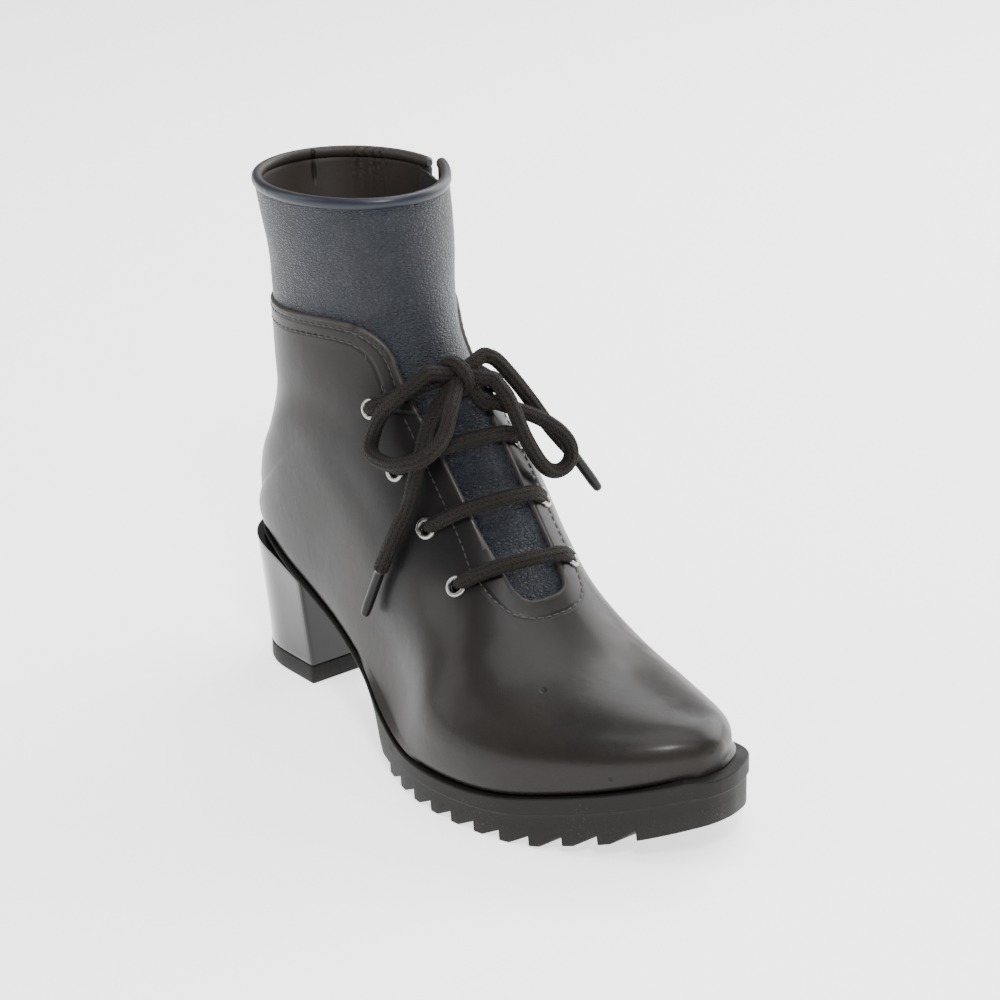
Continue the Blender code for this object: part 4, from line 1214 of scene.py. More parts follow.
@dataclass(frozen=True)
class SmoothLeather(Finish):
    """The smooth black leather of the vamp and quarters."""

    warm: Row = (0.014, 0.0105, 0.0085)
    # Lighter colour of the cut edges: rubbed wear and a painted highlight.
    edge_wear_and_highlight: Row = (0.055, 0.050, 0.046)
    # Painted shade colour for the stitched grooves.
    sunk: Row = (0.004, 0.004, 0.004)
    stain: Row = (0.002, 0.002, 0.002)
    dusty: Row = (0.16, 0.14, 0.12)
    groove: float = 1.3
    marks: Tuple[Row, ...] = ((165.3, -24.7, 51.7, 1.5), (202.6, -25.2, 31.8, 1.1))

    def detail(self, nodes: Surface) -> None:
        """Fine pores, uneven brownish tone, sewn grooves with painted shade, and cut edges lighter from wear and a
        painted highlight.

        Args:
            nodes: the material's nodes.
        """
        quarter, throat, low = nodes.layer("quarter"), nodes.layer("throat"), nodes.layer("above_sole")
        cloud = nodes.use(nodes.effects.cloud, {"Scale": 14.0})
        warm = nodes.mix(nodes.times(cloud.outputs[0], 0.75), self.colour, self.warm)
        edge = nodes.math("MINIMUM", quarter, throat)
        # The quarter and throat edges are painted lighter: partly rubbed wear, partly a painted highlight where the
        # rounded edge catches light.
        uneven = nodes.ramp(nodes.noise(200.0), 0.1, 0.5, 0.6, 1.0)
        wear = nodes.times(nodes.ramp(edge, 0.0, 0.8, 1.0, 0.0), uneven)
        edge_wear_and_highlight = nodes.mix(nodes.times(wear, 0.6), warm, self.edge_wear_and_highlight)
        grooves = None
        for line, inset in [(quarter, inset) for inset in QUARTER_INSETS] + [(throat, THROAT_INSET)]:
            values = {"Distance": line, "Inset": inset, "Width": self.groove}
            sewn = nodes.use(nodes.effects.groove, values)
            grooves = sewn.outputs[0] if grooves is None else nodes.math("MAXIMUM", grooves, sewn.outputs[0])
        # Painted shade: the stitched grooves are darkened towards the sunk colour.
        shaded = nodes.mix(nodes.times(grooves, 0.6), edge_wear_and_highlight, self.sunk)
        dust = nodes.use(nodes.effects.dust, {"Amount": 0.18})
        near_sole = nodes.ramp(low, 0.5, 9.0, 1.0, 0.0)
        dusty = nodes.times(dust.outputs[0], nodes.plus(nodes.times(near_sole, 0.9), 0.25))
        where = nodes.place()
        mark = None
        for x, y, z, size in self.marks:
            spot = (x * MM, y * MM, z * MM)
            dot = nodes.ramp(nodes.away(where, spot), 0.45 * size * MM, size * MM, 1.0, 0.0)
            mark = dot if mark is None else nodes.math("MAXIMUM", mark, dot)
        marked = nodes.mix(nodes.times(mark, 0.85), shaded, self.stain)
        nodes.feed("Base Color", nodes.mix(dusty, marked, self.dusty))
        rough = nodes.ramp(cloud.outputs[0], 0.0, 1.0, self.roughness - 0.04, self.roughness + 0.07)
        nodes.feed("Roughness", nodes.plus(rough, nodes.times(dusty, 0.3), clamp=True))
        grain = nodes.use(nodes.effects.grain, {"Cell Size": 0.75, "Fine": 0.5})
        pores = nodes.times(nodes.noise(2600.0, 2.0), 0.5)
        first = nodes.bump(nodes.plus(grain.outputs["Height"], pores), 0.000028, strength=0.55)
        second = nodes.bump(nodes.noise(75.0, 3.0), 0.0007, first, 0.35)
        sunk = nodes.plus(grooves, nodes.times(mark, 0.8))
        nodes.bump(nodes.math("SUBTRACT", 1.0, sunk), 0.0003, second, 0.9)


@dataclass(frozen=True)
class GrainedLeather(Finish):
    """The pebble-grained navy leather of the shaft and tongue."""

    valley: Row = (0.006, 0.007, 0.010)
    cell: float = 1.9
    stretch: float = 2.0
    front: Tuple[float, float] = (0.030, 0.066)
    depth: Tuple[float, float] = (0.65, 1.9)

    def detail(self, nodes: Surface) -> None:
        """Pebbles with glinting crowns and painted shade in their valleys, and soft uneven tone.

        Args:
            nodes: the material's nodes.
        """
        values = {"Cell Size": self.cell, "Fine": 0.35, "Stretch": self.stretch}
        grain = nodes.use(nodes.effects.grain, values)
        place = nodes.add("ShaderNodeSeparateXYZ", {0: nodes.place()})
        front = nodes.ramp(place.outputs[0], *self.front)
        depth = nodes.times(front, nodes.ramp(nodes.noise(70.0), 0.35, 0.6, 0.5, 1.0))
        nodes.tree.links.new(nodes.ramp(depth, 0.0, 1.0, *self.depth), grain.inputs["Depth"])
        cloud = nodes.use(nodes.effects.cloud, {"Scale": 30.0})
        tone = nodes.mix(cloud.outputs[0], self.shade(0.8), self.shade(1.3))
        # Painted shade: the valleys between the pebbles are darkened.
        sunk = nodes.times(grain.outputs["Valley"], 0.6)
        nodes.feed("Base Color", nodes.mix(sunk, tone, self.valley))
        rough = nodes.ramp(grain.outputs["Valley"], 0.0, 1.0, self.roughness, self.roughness + 0.2)
        nodes.feed("Roughness", rough)
        first = nodes.bump(nodes.noise(110.0, 3.0), 0.0012, None, 0.3)
        nodes.bump(grain.outputs["Height"], 0.00042, first, 0.9)


@dataclass(frozen=True)
class Rubber(Finish):
    """The matte moulded rubber of the outsole and the top lift."""

    def detail(self, nodes: Surface) -> None:
        """Moulded texture with scuffs and dust.

        Args:
            nodes: the material's nodes.
        """
        scuff = nodes.ramp(nodes.noise(55.0, 6.0, roughness=0.7), 0.55, 0.75)
        dust = nodes.use(nodes.effects.dust, {"Amount": 0.35})
        base = nodes.mix(nodes.times(scuff, 0.45), self.colour, self.shade(2.6))
        nodes.feed("Base Color", nodes.mix(dust.outputs[0], base, (0.12, 0.10, 0.085)))
        nodes.feed("Roughness", nodes.ramp(scuff, 0.0, 1.0, self.roughness, min(1.0, self.roughness + 0.15)))
        height = nodes.plus(nodes.noise(900.0, 4.0), nodes.times(scuff, 0.6))
        nodes.bump(height, 0.00009, None, 0.8)


@dataclass(frozen=True)
class Lacquer(Finish):
    """The glossy lacquer of the heel block."""

    def detail(self, nodes: Surface) -> None:
        """A faint ripple and a few dust specks in the gloss.

        Args:
            nodes: the material's nodes.
        """
        dust = nodes.use(nodes.effects.dust, {"Amount": 0.12})
        nodes.feed("Base Color", nodes.mix(dust.outputs[0], self.colour, (0.12, 0.11, 0.10)))
        nodes.feed("Roughness", nodes.ramp(nodes.noise(60.0), 0.3, 0.7, self.roughness, self.roughness + 0.05))
        nodes.bump(nodes.noise(45.0, 2.0), 0.0006, None, 0.25)


@dataclass(frozen=True)
class BraidedCord(Finish):
    """The round braided lace."""

    strand_pitch: float = 3.4
    strands: float = 8.0

    def detail(self, nodes: Surface) -> None:
        """Two crossing sets of strands with fibres along them, and painted shade between them.

        Args:
            nodes: the material's nodes.
        """
        along, around = nodes.layer("along"), nodes.layer("around")
        turns = nodes.times(along, 2 * math.pi / self.strand_pitch)
        spin = nodes.times(around, self.strands)
        first = nodes.math("SINE", nodes.plus(turns, spin))
        second = nodes.math("SINE", nodes.math("SUBTRACT", turns, spin))
        weave = nodes.times(first, second)
        fibre = nodes.math("SINE", nodes.plus(nodes.times(turns, 5.0), spin))
        rib = nodes.math("ABSOLUTE", nodes.math("SINE", nodes.times(around, 0.5 * self.strands)))
        relief = nodes.plus(nodes.math("ABSOLUTE", weave), nodes.times(rib, 0.6))
        height = nodes.plus(relief, nodes.times(fibre, 0.12))
        # Painted shade: the hollows between the strands are darkened.
        deep = nodes.ramp(relief, 0.15, 0.8, 1.0, 0.0)
        light = nodes.mix(nodes.noise(700.0), self.shade(0.7), self.shade(3.0))
        nodes.feed("Base Color", nodes.mix(nodes.times(deep, 0.85), light, (0.003, 0.0025, 0.002)))
        fuzz = nodes.times(nodes.noise(2500.0), 0.35)
        nodes.bump(nodes.plus(height, fuzz), 0.0004, None, 0.9)


@dataclass(frozen=True)
class Metal(Finish):
    """Plated metal with fine scratches."""

    def detail(self, nodes: Surface) -> None:
        """Worn gloss and hairline scratches.

        Args:
            nodes: the material's nodes.
        """
        wear = nodes.noise(400.0, 5.0)
        nodes.feed("Base Color", nodes.mix(wear, self.shade(0.6), self.colour))
        nodes.feed("Roughness", nodes.ramp(wear, 0.3, 0.7, self.roughness, self.roughness + 0.2))
        nodes.bump(nodes.noise(1800.0, 2.0), 0.00003, None, 0.6)


@dataclass(frozen=True)
class Woven(Finish):
    """Woven cloth, for the zip's tapes."""

    thread: float = 0.6

    def detail(self, nodes: Surface) -> None:
        """A plain weave with uneven tone and painted shade in its troughs.

        Args:
            nodes: the material's nodes.
        """
        where = nodes.place()
        parts = nodes.add("ShaderNodeSeparateXYZ", {0: where})
        rate = 2 * math.pi * 1000.0 / self.thread
        flat = nodes.plus(parts.outputs[0], parts.outputs[1])
        first = nodes.math("SINE", nodes.times(flat, rate))
        second = nodes.math("SINE", nodes.times(parts.outputs[2], rate))
        weave = nodes.times(first, second)
        tone = nodes.mix(nodes.noise(35.0, 4.0), self.shade(0.6), self.shade(1.4))
        # Painted shade: the troughs of the weave are darkened.
        deep = nodes.ramp(weave, -1.0, 0.4, 0.5, 0.0)
        nodes.feed("Base Color", nodes.mix(deep, tone, (0.004, 0.003, 0.003)))
        nodes.bump(weave, 0.00008, None, 0.7)


@dataclass(frozen=True)
class LiningLeather(Finish):
    """The soft dark lining, with a seam and the gathers that the binding pulls in it."""

    seam: Tuple[float, float] = (-0.0098, 0.0086)
    gathers: Tuple[float, float] = (-0.003, 0.012)
    gather_pitch: float = 0.0031
    collar: Tuple[float, float] = (0.183, 0.197)

    def detail(self, nodes: Surface) -> None:
        """Uneven tone, an upright seam, short gathers under the collar with a painted highlight on their crests and
        painted shade in their troughs, and a fine grain.

        Args:
            nodes: the material's nodes.
        """
        place = nodes.place()
        parts = nodes.add("ShaderNodeSeparateXYZ", {0: place})
        flat = nodes.add("ShaderNodeCombineXYZ", {0: parts.outputs[0], 1: parts.outputs[1]}).outputs[0]
        spot = (self.seam[0], self.seam[1], 0.0)
        seam = nodes.ramp(nodes.away(flat, spot), 0.0004, 0.0012, 1.0, 0.0)
        wave = nodes.math("SINE", nodes.times(parts.outputs[0], 2 * math.pi / self.gather_pitch))
        low, high = self.gathers
        begin = nodes.ramp(parts.outputs[0], low, low + 0.002)
        inside = nodes.times(begin, nodes.ramp(parts.outputs[0], high - 0.002, high, 1.0, 0.0))
        inside = nodes.times(inside, nodes.ramp(nodes.noise(300.0), 0.38, 0.6, 0.1, 1.0))
        top = nodes.times(inside, nodes.ramp(parts.outputs[2], *self.collar))
        gather = nodes.times(nodes.times(wave, top), nodes.ramp(parts.outputs[1], 0.0, 0.004))
        tone = nodes.mix(nodes.noise(45.0, 4.0), self.shade(0.6), self.shade(1.6))
        # Painted highlight on the gathers' crests, then painted shade in their troughs.
        lit = nodes.mix(nodes.ramp(gather, 0.2, 1.0, 0.0, 0.35), tone, self.shade(2.6))
        dark = nodes.mix(nodes.ramp(gather, -1.0, -0.2, 0.4, 0.0), lit, (0.003, 0.002, 0.002))
        nodes.feed("Base Color", nodes.mix(seam, dark, (0.002, 0.0015, 0.0015)))
        height = nodes.math("SUBTRACT", nodes.times(gather, 0.5), seam)
        first = nodes.bump(height, 0.0005, None, 0.9)
        nodes.bump(nodes.noise(900.0, 4.0), 0.0001, first, 0.6)


class Wardrobe:
    """All finishes of the boot."""

    def __init__(self) -> None:
        """Make every finish once."""
        effects = Effects()
        self.black = SmoothLeather(
            "smooth_black_leather", (0.0055, 0.005, 0.005), 0.38, coat=0.12, coat_roughness=0.22, specular=0.15,
        ).make(effects)
        self.navy = GrainedLeather(
            "grained_navy_leather", (0.010, 0.0135, 0.022), 0.30, specular=0.42,
        ).make(effects)
        self.binding = Finish("binding_leather_dressed", (0.009, 0.012, 0.019), 0.36, specular=0.32).make(effects)
        self.lining = LiningLeather("lining_leather", (0.022, 0.017, 0.014), 0.55, specular=0.3).make(effects)
        self.insole = Finish("insole_leather_dressed", (0.045, 0.032, 0.022), 0.6).make(effects)
        self.rubber = Rubber("outsole_rubber", (0.0048, 0.0040, 0.0034), 0.62, specular=0.22).make(effects)
        self.lift = Rubber("top_lift_rubber", (0.0048, 0.0042, 0.0038), 0.62, specular=0.22).make(effects)
        self.lacquer = Lacquer(
            "heel_lacquer_gloss", (0.004, 0.004, 0.004), 0.08, coat=0.32, coat_roughness=0.05, specular=0.28,
        ).make(effects)
        self.nickel = Metal("nickel_plate", (0.40, 0.385, 0.365), 0.22, metallic=1.0).make(effects)
        self.cord = BraidedCord("braided_cord", (0.0062, 0.0048, 0.0040), 0.72, specular=0.18).make(effects)
        self.aglet = Finish("aglet_sleeve", (0.006, 0.0055, 0.005), 0.34, specular=0.2).make(effects)
        self.thread = Finish("sewing_thread", (0.020, 0.018, 0.016), 0.55).make(effects)
        self.tape = Woven("zip_tape_cloth", (0.010, 0.010, 0.011), 0.75).make(effects)
        self.teeth = Finish("zip_coil", (0.014, 0.014, 0.015), 0.4).make(effects)


@dataclass
class BootLeather:
    """The black upper and the navy shaft with its tongue, and the thread that sews them."""

    last: LastForm
    pattern: Pattern
    wardrobe: Wardrobe
    upper_wall: float = 3.0
    shaft_wall: float = 1.8
    lap: float = 1.4
    zip_inset: float = 3.0
    calm: float = 6.0
    hole: float = 2.6
    hole_depth: float = 8.0
    seats: Tuple[Seat, ...] = ()
    creases: Tuple[Crease, ...] = (
        Crease(((-12.0, -14.0, 122.0), (10.0, -30.0, 119.0), (38.0, -33.0, 121.0), (60.0, -28.0, 116.0)), 9.0, -1.0),
        Crease(((-14.0, -12.0, 104.0), (8.0, -30.0, 100.0), (30.0, -32.0, 104.0)), 6.0, -0.45),
        Crease(((44.0, -33.0, 108.0), (62.0, -33.0, 96.0), (82.0, -32.0, 82.0)), 7.0, -0.55),
        Crease(((60.0, -30.0, 140.0), (48.0, -31.0, 147.0), (30.0, -32.0, 149.0)), 4.0, -0.35),
        Crease(((10.0, 31.0, 118.0), (38.0, 33.0, 116.0), (62.0, 28.0, 112.0)), 8.0, -0.8),
        Crease(((146.0, 14.0, 64.0), (151.0, 22.0, 59.0), (155.0, 32.0, 50.0)), 5.5, -0.4),
        Crease(((154.0, 12.0, 60.0), (159.0, 20.0, 55.0), (163.0, 30.0, 46.0)), 4.5, -0.3),
        Crease(((150.5, 14.0, 62.0), (155.5, 22.0, 57.0), (160.0, 31.0, 47.0)), 3.2, 0.25),
        Crease(((128.0, -34.0, 62.0), (140.0, -30.0, 61.0), (151.0, -16.0, 60.0)), 6.0, -0.35),
        Crease(((140.0, -44.0, 40.0), (150.0, -38.0, 48.0), (157.0, -22.0, 56.0)), 7.0, -0.3),
        Crease(((-20.0, 0.0, 118.0), (-16.0, 12.0, 112.0), (-4.0, 24.0, 108.0)), 5.0, -0.4),
    )
    shaft_creases: Tuple[Crease, ...] = (
        Crease(((-8.0, -18.0, 178.0), (12.0, -31.0, 172.0), (40.0, -30.0, 176.0)), 9.0, -0.5),
        Crease(((20.0, -32.0, 164.0), (48.0, -29.0, 166.0), (68.0, -12.0, 170.0)), 7.0, -0.45),
        Crease(((60.0, -20.0, 158.0), (72.0, -6.0, 158.0), (74.0, 8.0, 156.0)), 5.0, -0.5),
        Crease(((10.0, 31.0, 172.0), (40.0, 31.0, 170.0), (66.0, 14.0, 168.0)), 8.0, -0.4),
    )

    def build(self) -> None:
        """Cut, shape, dress and sew the leather."""
        middle = self.last.offset(1.5)
        quarter, throat = self.pattern.quarter(middle), self.pattern.opening(middle)
        slot = self.pattern.slot(middle)
        low = middle[:, 2] - self.last.feather_at(middle[:, 0])
        above = np.where(middle[:, 2] < 90.0, low, 99.0)
        surface = self.last.offset(self.upper_wall)
        push = sum(crease.push(surface) for crease in self.creases)
        push = push * ease(np.minimum(throat, slot), 0.0, self.calm)
        keep = np.minimum(np.minimum(quarter, throat), slot)
        for _, place, normal in self.seats:
            away = surface - place
            deep = away @ normal
            wide = np.linalg.norm(away - deep[:, None] * normal, axis=1)
            keep = np.minimum(keep, np.where(np.abs(deep) < self.hole_depth, wide - self.hole, keep))
        layers = {"quarter": quarter, "throat": throat, "above_sole": above, "slot": slot}
        upper = CutSheet(self.last, keep).cut().solid("upper_leather", 0.0, self.upper_wall, push, layers, 0.7)
        dress = self.wardrobe
        add_piece("upper_leather", upper, [dress.black, dress.lining], ["upper"])

        navy = np.minimum(np.maximum(self.lap - quarter, self.lap - throat), slot)
        soft = sum(crease.push(self.last.offset(self.shaft_wall)) for crease in self.shaft_creases)
        soft = soft * ease(slot, 0.0, self.calm) - 0.5 * ease(quarter, -1.0, 1.0)
        shaft = CutSheet(self.last, navy).cut().solid("shaft_leather", 0.0, self.shaft_wall, soft, layers, 0.4)
        lift_points(shaft, self.pattern.collar_peak)
        add_piece("shaft_leather", shaft, [dress.navy, dress.lining], ["shaft", "tongue"])
        self.sew(quarter, throat, slot)

    def sew(self, quarter: Array, throat: Array, slot: Array) -> None:
        """Lay the rows of stitches.

        Args:
            quarter: distance below the quarters' top line.
            throat: distance outside the throat.
            slot: distance outside the zip's slot.
        """
        thread = Thread()
        parts, faces = [], []
        lift = self.upper_wall - 0.12

        def row(values: Array, height: float, keep: Callable[[Array], Array]) -> None:
            """Add one row of stitches.

            Args:
                values: a signed distance that is zero along the row.
                height: how far outside the last the row lies.
                keep: says which points are sewn.
            """
            points, loops = thread.sew(thread.lines(self.last, values, height), keep)
            start = sum(len(part) for part in parts)
            parts.append(points)
            faces.extend([[i + start for i in loop] for loop in loops])

        for inset in QUARTER_INSETS:
            row(
                quarter - inset, lift,
                lambda p, inset=inset: (self.pattern.opening(p) > inset) & (self.pattern.slot(p) > 2.0),
            )
        row(throat - THROAT_INSET, lift, lambda p: self.pattern.quarter(p) > QUARTER_INSETS[-1])
        row(slot - self.zip_inset, lift, lambda p: self.pattern.quarter(p) > 1.5)
        row(slot - self.zip_inset, self.shaft_wall - 0.12,
            lambda p: (self.pattern.quarter(p) < -1.5) & (p[:, 2] < 198.0))
        mesh = new_mesh("stitching", np.vstack(parts), faces)
        add_piece("stitching", mesh, [self.wardrobe.thread])


@dataclass
class CollarBinding:
    """The rolled binding on the collar, open at the zip."""

    last: LastForm
    pattern: Pattern
    wardrobe: Wardrobe
    half_width: float = 1.95
    half_height: float = 2.15
    lift: float = 1.75
    wall: float = 1.8
    gap: float = 9.0
    stations: int = 240
    around: int = 20
    square: float = 0.85
    inner_face: float = -0.15

    def build(self) -> None:
        """Sweep the binding round the collar."""
        ring = self.last.points[self.last.index[-1, 1:-1]]
        ring = ring[:-1] if np.allclose(ring[0], ring[-1]) else ring
        up = np.cross(ring[len(ring) // 4] - ring[0], ring[len(ring) // 2] - ring[0])
        up = up / np.linalg.norm(up) * np.sign(up[2])
        closed = np.vstack([ring, ring[:1]])
        run = run_along(closed)
        where = np.linspace(0, run[-1], self.stations + 1)[:-1]
        line = np.stack([np.interp(where, run, closed[:, k]) for k in range(3)], 1)
        tangent = np.roll(line, -1, axis=0) - np.roll(line, 1, axis=0)
        side = np.cross(tangent, up)
        side /= np.linalg.norm(side, axis=1)[:, None]
        side *= np.sign(((line - line.mean(axis=0)) * side).sum(axis=1))[:, None]
        centre = line + side * self.wall / 2 + up * self.lift
        distance = self.pattern.slot(line) + self.pattern.slot_width / 2
        order = np.roll(np.arange(len(line)), -int(np.argmin(distance)))
        order = [k for k in order if distance[k] > self.gap / 2]
        around = self.around
        turn = np.linspace(0, 2 * math.pi, around, endpoint=False)
        cos, sin = (np.abs(wave) ** self.square * np.sign(wave) for wave in (np.cos(turn), np.sin(turn)))
        rings = []
        for rank, k in enumerate(order):
            edge = min(rank, len(order) - 1 - rank)
            small = math.sqrt(max(0.0, 1 - (1 - min(1.0, (edge + 0.3) / 1.6)) ** 2))
            reach = self.half_width * cos[:, None] * side[k] + self.half_height * sin[:, None] * up
            rings.append(centre[k] + small * reach)
        faces = bands(len(rings), around) + end_faces(len(rings), around)
        mesh = new_mesh("rolled_binding", np.vstack(rings), faces)
        lift_points(mesh, self.pattern.collar_peak)
        inner = [j for j in range(around) if math.cos(turn[j] + math.pi / around) < self.inner_face]
        for k in range(len(rings) - 1):
            for j in inner:
                mesh.polygons[k * around + j].material_index = 1
        finish = [self.wardrobe.binding, self.wardrobe.lining]
        add_piece("rolled_binding", mesh, finish, ["collar_binding"])


@dataclass
class Lacing:
    """The eyelets and the lace: bars, rises, knot, loops, ends and aglets."""

    last: LastForm
    pattern: Pattern
    wardrobe: Wardrobe
    eyelets: Tuple[Row, ...] = (
        (-3.0, -22.4, 10.0, 19.0), (21.5, -23.2, 29.0, 17.0), (46.0, -23.6, 52.5, 17.0), (70.5, -25.2, 76.5, 17.0),
    )
    wall: float = 3.0
    radius: float = 2.72
    throat_radius: float = 1.4
    knot: Row = (91.7, -2.4, 142.7)
    lateral_rise_end: Row = (85.5, -11.5, 139.8)
    medial_rise_end: Row = (88.4, 7.4, 141.2)
    left_loop: Tuple[Row, ...] = (
        (89.5, -14.0, 145.5), (88.0, -18.5, 142.5), (85.5, -24.5, 138.0), (79.5, -28.5, 130.0),
        (76.5, -30.5, 121.0), (79.5, -33.0, 117.0), (89.0, -34.5, 116.5), (99.0, -34.0, 118.5),
        (106.0, -28.5, 122.0), (105.5, -20.0, 127.5), (101.5, -13.0, 136.0),
    )
    left_end: Tuple[Row, ...] = (
        (91.5, -11.5, 133.0), (94.0, -18.0, 128.0), (97.5, -25.0, 118.0), (96.5, -27.0, 109.5),
        (93.5, -28.5, 98.5), (91.0, -31.5, 90.0), (85.5, -35.5, 74.0),
    )
    left_aglet: Tuple[Row, ...] = ((85.6, -35.4, 74.4), (77.0, -37.6, 53.5))
    right_loop: Tuple[Row, ...] = (
        (99.5, 7.5, 141.0), (104.5, 9.5, 135.5), (108.5, 10.3, 129.0), (111.0, 12.0, 121.5),
        (112.0, 15.5, 114.0), (112.1, 19.0, 108.6), (112.3, 22.4, 105.4), (112.6, 26.4, 104.3),
        (112.9, 30.2, 105.9), (112.9, 32.0, 109.6), (112.2, 31.4, 114.0), (110.3, 28.4, 118.8),
        (107.0, 23.0, 123.7), (102.5, 15.5, 128.0), (98.5, 9.5, 131.0), (96.0, 5.0, 131.5),
    )
    right_end: Tuple[Row, ...] = (
        (92.0, 9.0, 147.5), (94.0, 13.0, 145.5), (96.0, 19.0, 137.5), (98.0, 25.5, 127.5),
        (100.0, 32.5, 116.0), (102.0, 41.0, 104.5),
    )
    right_aglet: Tuple[Row, ...] = ((101.9, 40.6, 105.0), (104.5, 51.5, 87.5))
    step: float = 0.6
    overlap: int = 8
    ribs: float = 8.0
    braid_pitch: float = 3.4
    cast: float = 60.0
    flange: float = 3.6
    dip: float = 2.6
    eyelet_profile: Tuple[Row, ...] = (
        (2.35, -2.4), (2.3, 0.2), (2.45, 0.8), (2.8, 1.2), (3.3, 1.25), (3.8, 1.0), (4.1, 0.55), (4.15, 0.05),
        (3.9, -0.1),
    )

    def relief(self, along: Array, turn: Array) -> Array:
        """How far the braid's strands stand out.

        Args:
            along: the run along the cord.
            turn: the turn round it.

        Returns:
            The height of each point, in millimetres.
        """
        rate = 2 * math.pi / self.braid_pitch
        weave = np.sin(rate * along + self.ribs * turn) * np.sin(rate * along - self.ribs * turn)
        rib = np.abs(np.sin(self.ribs / 2 * turn))
        return 0.10 * np.abs(weave) + 0.24 * np.sqrt(rib) - 0.2

    def seats(self) -> List[Seat]:
        """Find where the eyelets sit.

        Returns:
            Each eyelet's node, place and outward direction, the lateral row first.
        """
        tree = self.last.tree(self.wall)
        origin, down, out = self.pattern.instep()
        found = []
        for side, columns in ((Side.LATERAL, (0, 1)), (Side.MEDIAL, (2, 3))):
            for number, row in enumerate(self.eyelets):
                start = origin + down * row[columns[0]] + out * self.cast + np.array([0.0, row[columns[1]], 0.0])
                spots = []
                for turn in np.linspace(0, 2 * math.pi, 9)[:-1]:
                    aside = down * self.flange * math.cos(turn) + np.array([0.0, self.flange * math.sin(turn), 0.0])
                    hit = tree.ray_cast(Vector(start + aside), Vector(-out))[0]
                    spots.append(np.array(hit))
                normal = np.cross(spots[0] - spots[4], spots[2] - spots[6])
                normal *= np.sign(normal @ out) / np.linalg.norm(normal)
                place = np.array(tree.ray_cast(Vector(start), Vector(-out))[0])
                lift = max(0.0, max(float((spot - place) @ normal) for spot in spots))
                found.append((f"eyelet_{side.name.lower()}_{number + 1}", place + normal * lift, normal))
        return found

    def ring(self, place: Array, normal: Array) -> Part:
        """One rolled eyelet: a domed flange round a barrel.

        Args:
            place: its middle on the leather.
            normal: the outward direction there.

        Returns:
            Its points, faces and layers.
        """
        side = np.cross(normal, [0.0, 1.0, 0.0])
        side /= np.linalg.norm(side)
        other = np.cross(normal, side)
        around = 40
        turn = np.linspace(0, 2 * math.pi, around, endpoint=False)
        circle = np.cos(turn)[:, None] * side + np.sin(turn)[:, None] * other
        points = np.vstack([place + radius * circle + height * normal for radius, height in self.eyelet_profile])
        faces = [[a, d, c, b] for a, b, c, d in bands(len(self.eyelet_profile), around)]
        zero = np.zeros(len(points))
        return points, faces, {"along": zero, "around": zero}

    def strand(self, route: Sequence[Row], squeeze: Tuple[bool, bool] = (False, False)) -> Part:
        """A length of braided cord.

        Args:
            route: the points it passes, in millimetres.
            squeeze: whether its start and its end narrow into an eyelet.

        Returns:
            Its points, faces and layers.
        """
        path = smooth_route(route, self.step)
        run = np.linspace(0, len(path) * self.step, len(path))
        radii = np.full(len(path), self.radius)
        for tight, away in zip(squeeze, (run, run[::-1])):
            if tight:
                wider = (self.radius - self.throat_radius) * ease(away, self.dip, 6.0)
                radii = np.minimum(radii, self.throat_radius + wider)
        return tube(path, radii, 40, self.relief)

    def bar(self, seat: Seat, other: Seat, tree: BVHTree) -> List[Row]:
        """Lead a bar from a lateral eyelet over the throat to the medial one.

        Args:
            seat: the lateral eyelet.
            other: the medial one.
            tree: the leather's surface.

        Returns:
            The bar's route.
        """
        _, _, out = self.pattern.instep()
        _, start, first = seat
        _, stop, last = other
        toward = (stop - start) / np.linalg.norm(stop - start)
        route = [
            start + toward * 0.7 - first * self.dip, start + toward * 0.8 + first * 0.5,
            start + first * 2.5 + toward * 3.0,
        ]
        for share in (0.2, 0.34, 0.5, 0.66, 0.8):
            spot = start + (stop - start) * share + out * self.cast
            hit, normal, _, _ = tree.ray_cast(Vector(spot), Vector(-out))
            normal = np.array(normal) * np.sign(np.array(normal) @ out)
            route.append(np.array(hit) + normal * (3.35 + 0.5 * math.sin(math.pi * share)))
        route += [
            stop + last * 2.5 - toward * 3.0, stop - toward * 0.8 + last * 0.5,
            stop - toward * 0.7 - last * self.dip,
        ]
        return [tuple(point) for point in route]

    def build(self) -> None:
        """Set the eyelets and lay the lace through them."""
        seats = self.seats()
        half = len(seats) // 2
        tree = self.last.tree(self.wall)
        points, faces, _ = merged([self.ring(place, normal) for _, place, normal in seats])
        add_piece("eyelet_rings", new_mesh("eyelet_rings", points, faces), [self.wardrobe.nickel],
                  [name for name, _, _ in seats])
        for number in range(1, half):
            route = self.bar(seats[number], seats[number + half], tree)
            self.lay(f"braided_bar_{number}", [self.strand(route, (True, True))], [f"lace_bar_{number}"])
        centre = np.array(self.knot)
        for name, seat, reach in (
            ("lateral", seats[0], self.lateral_rise_end), ("medial", seats[half], self.medial_rise_end),
        ):
            _, place, normal = seat
            end = np.array(reach)
            aim = end - place
            aim /= np.linalg.norm(aim)
            route = [
                place + aim * 0.6 - normal * self.dip, place + aim * 0.8 + normal * 0.5,
                place + normal * 2.8 + aim * 3.2, (place + normal * 3.6 + end) / 2 + normal * 0.8,
                end, centre + (end - centre) * 0.35,
            ]
            self.lay(f"braided_rise_{name}", [self.strand(route, (True, False))], [f"lace_rise_{name}"])
        self.bow()

    def lay(self, name: str, strands: List[Part], nodes: Sequence[str]) -> Piece:
        """Add a piece of braided cord that stands for solids."""
        points, faces, layers = merged(strands)
        return add_piece(name, new_mesh(name, points, faces, layers, 70.0), [self.wardrobe.cord], nodes)

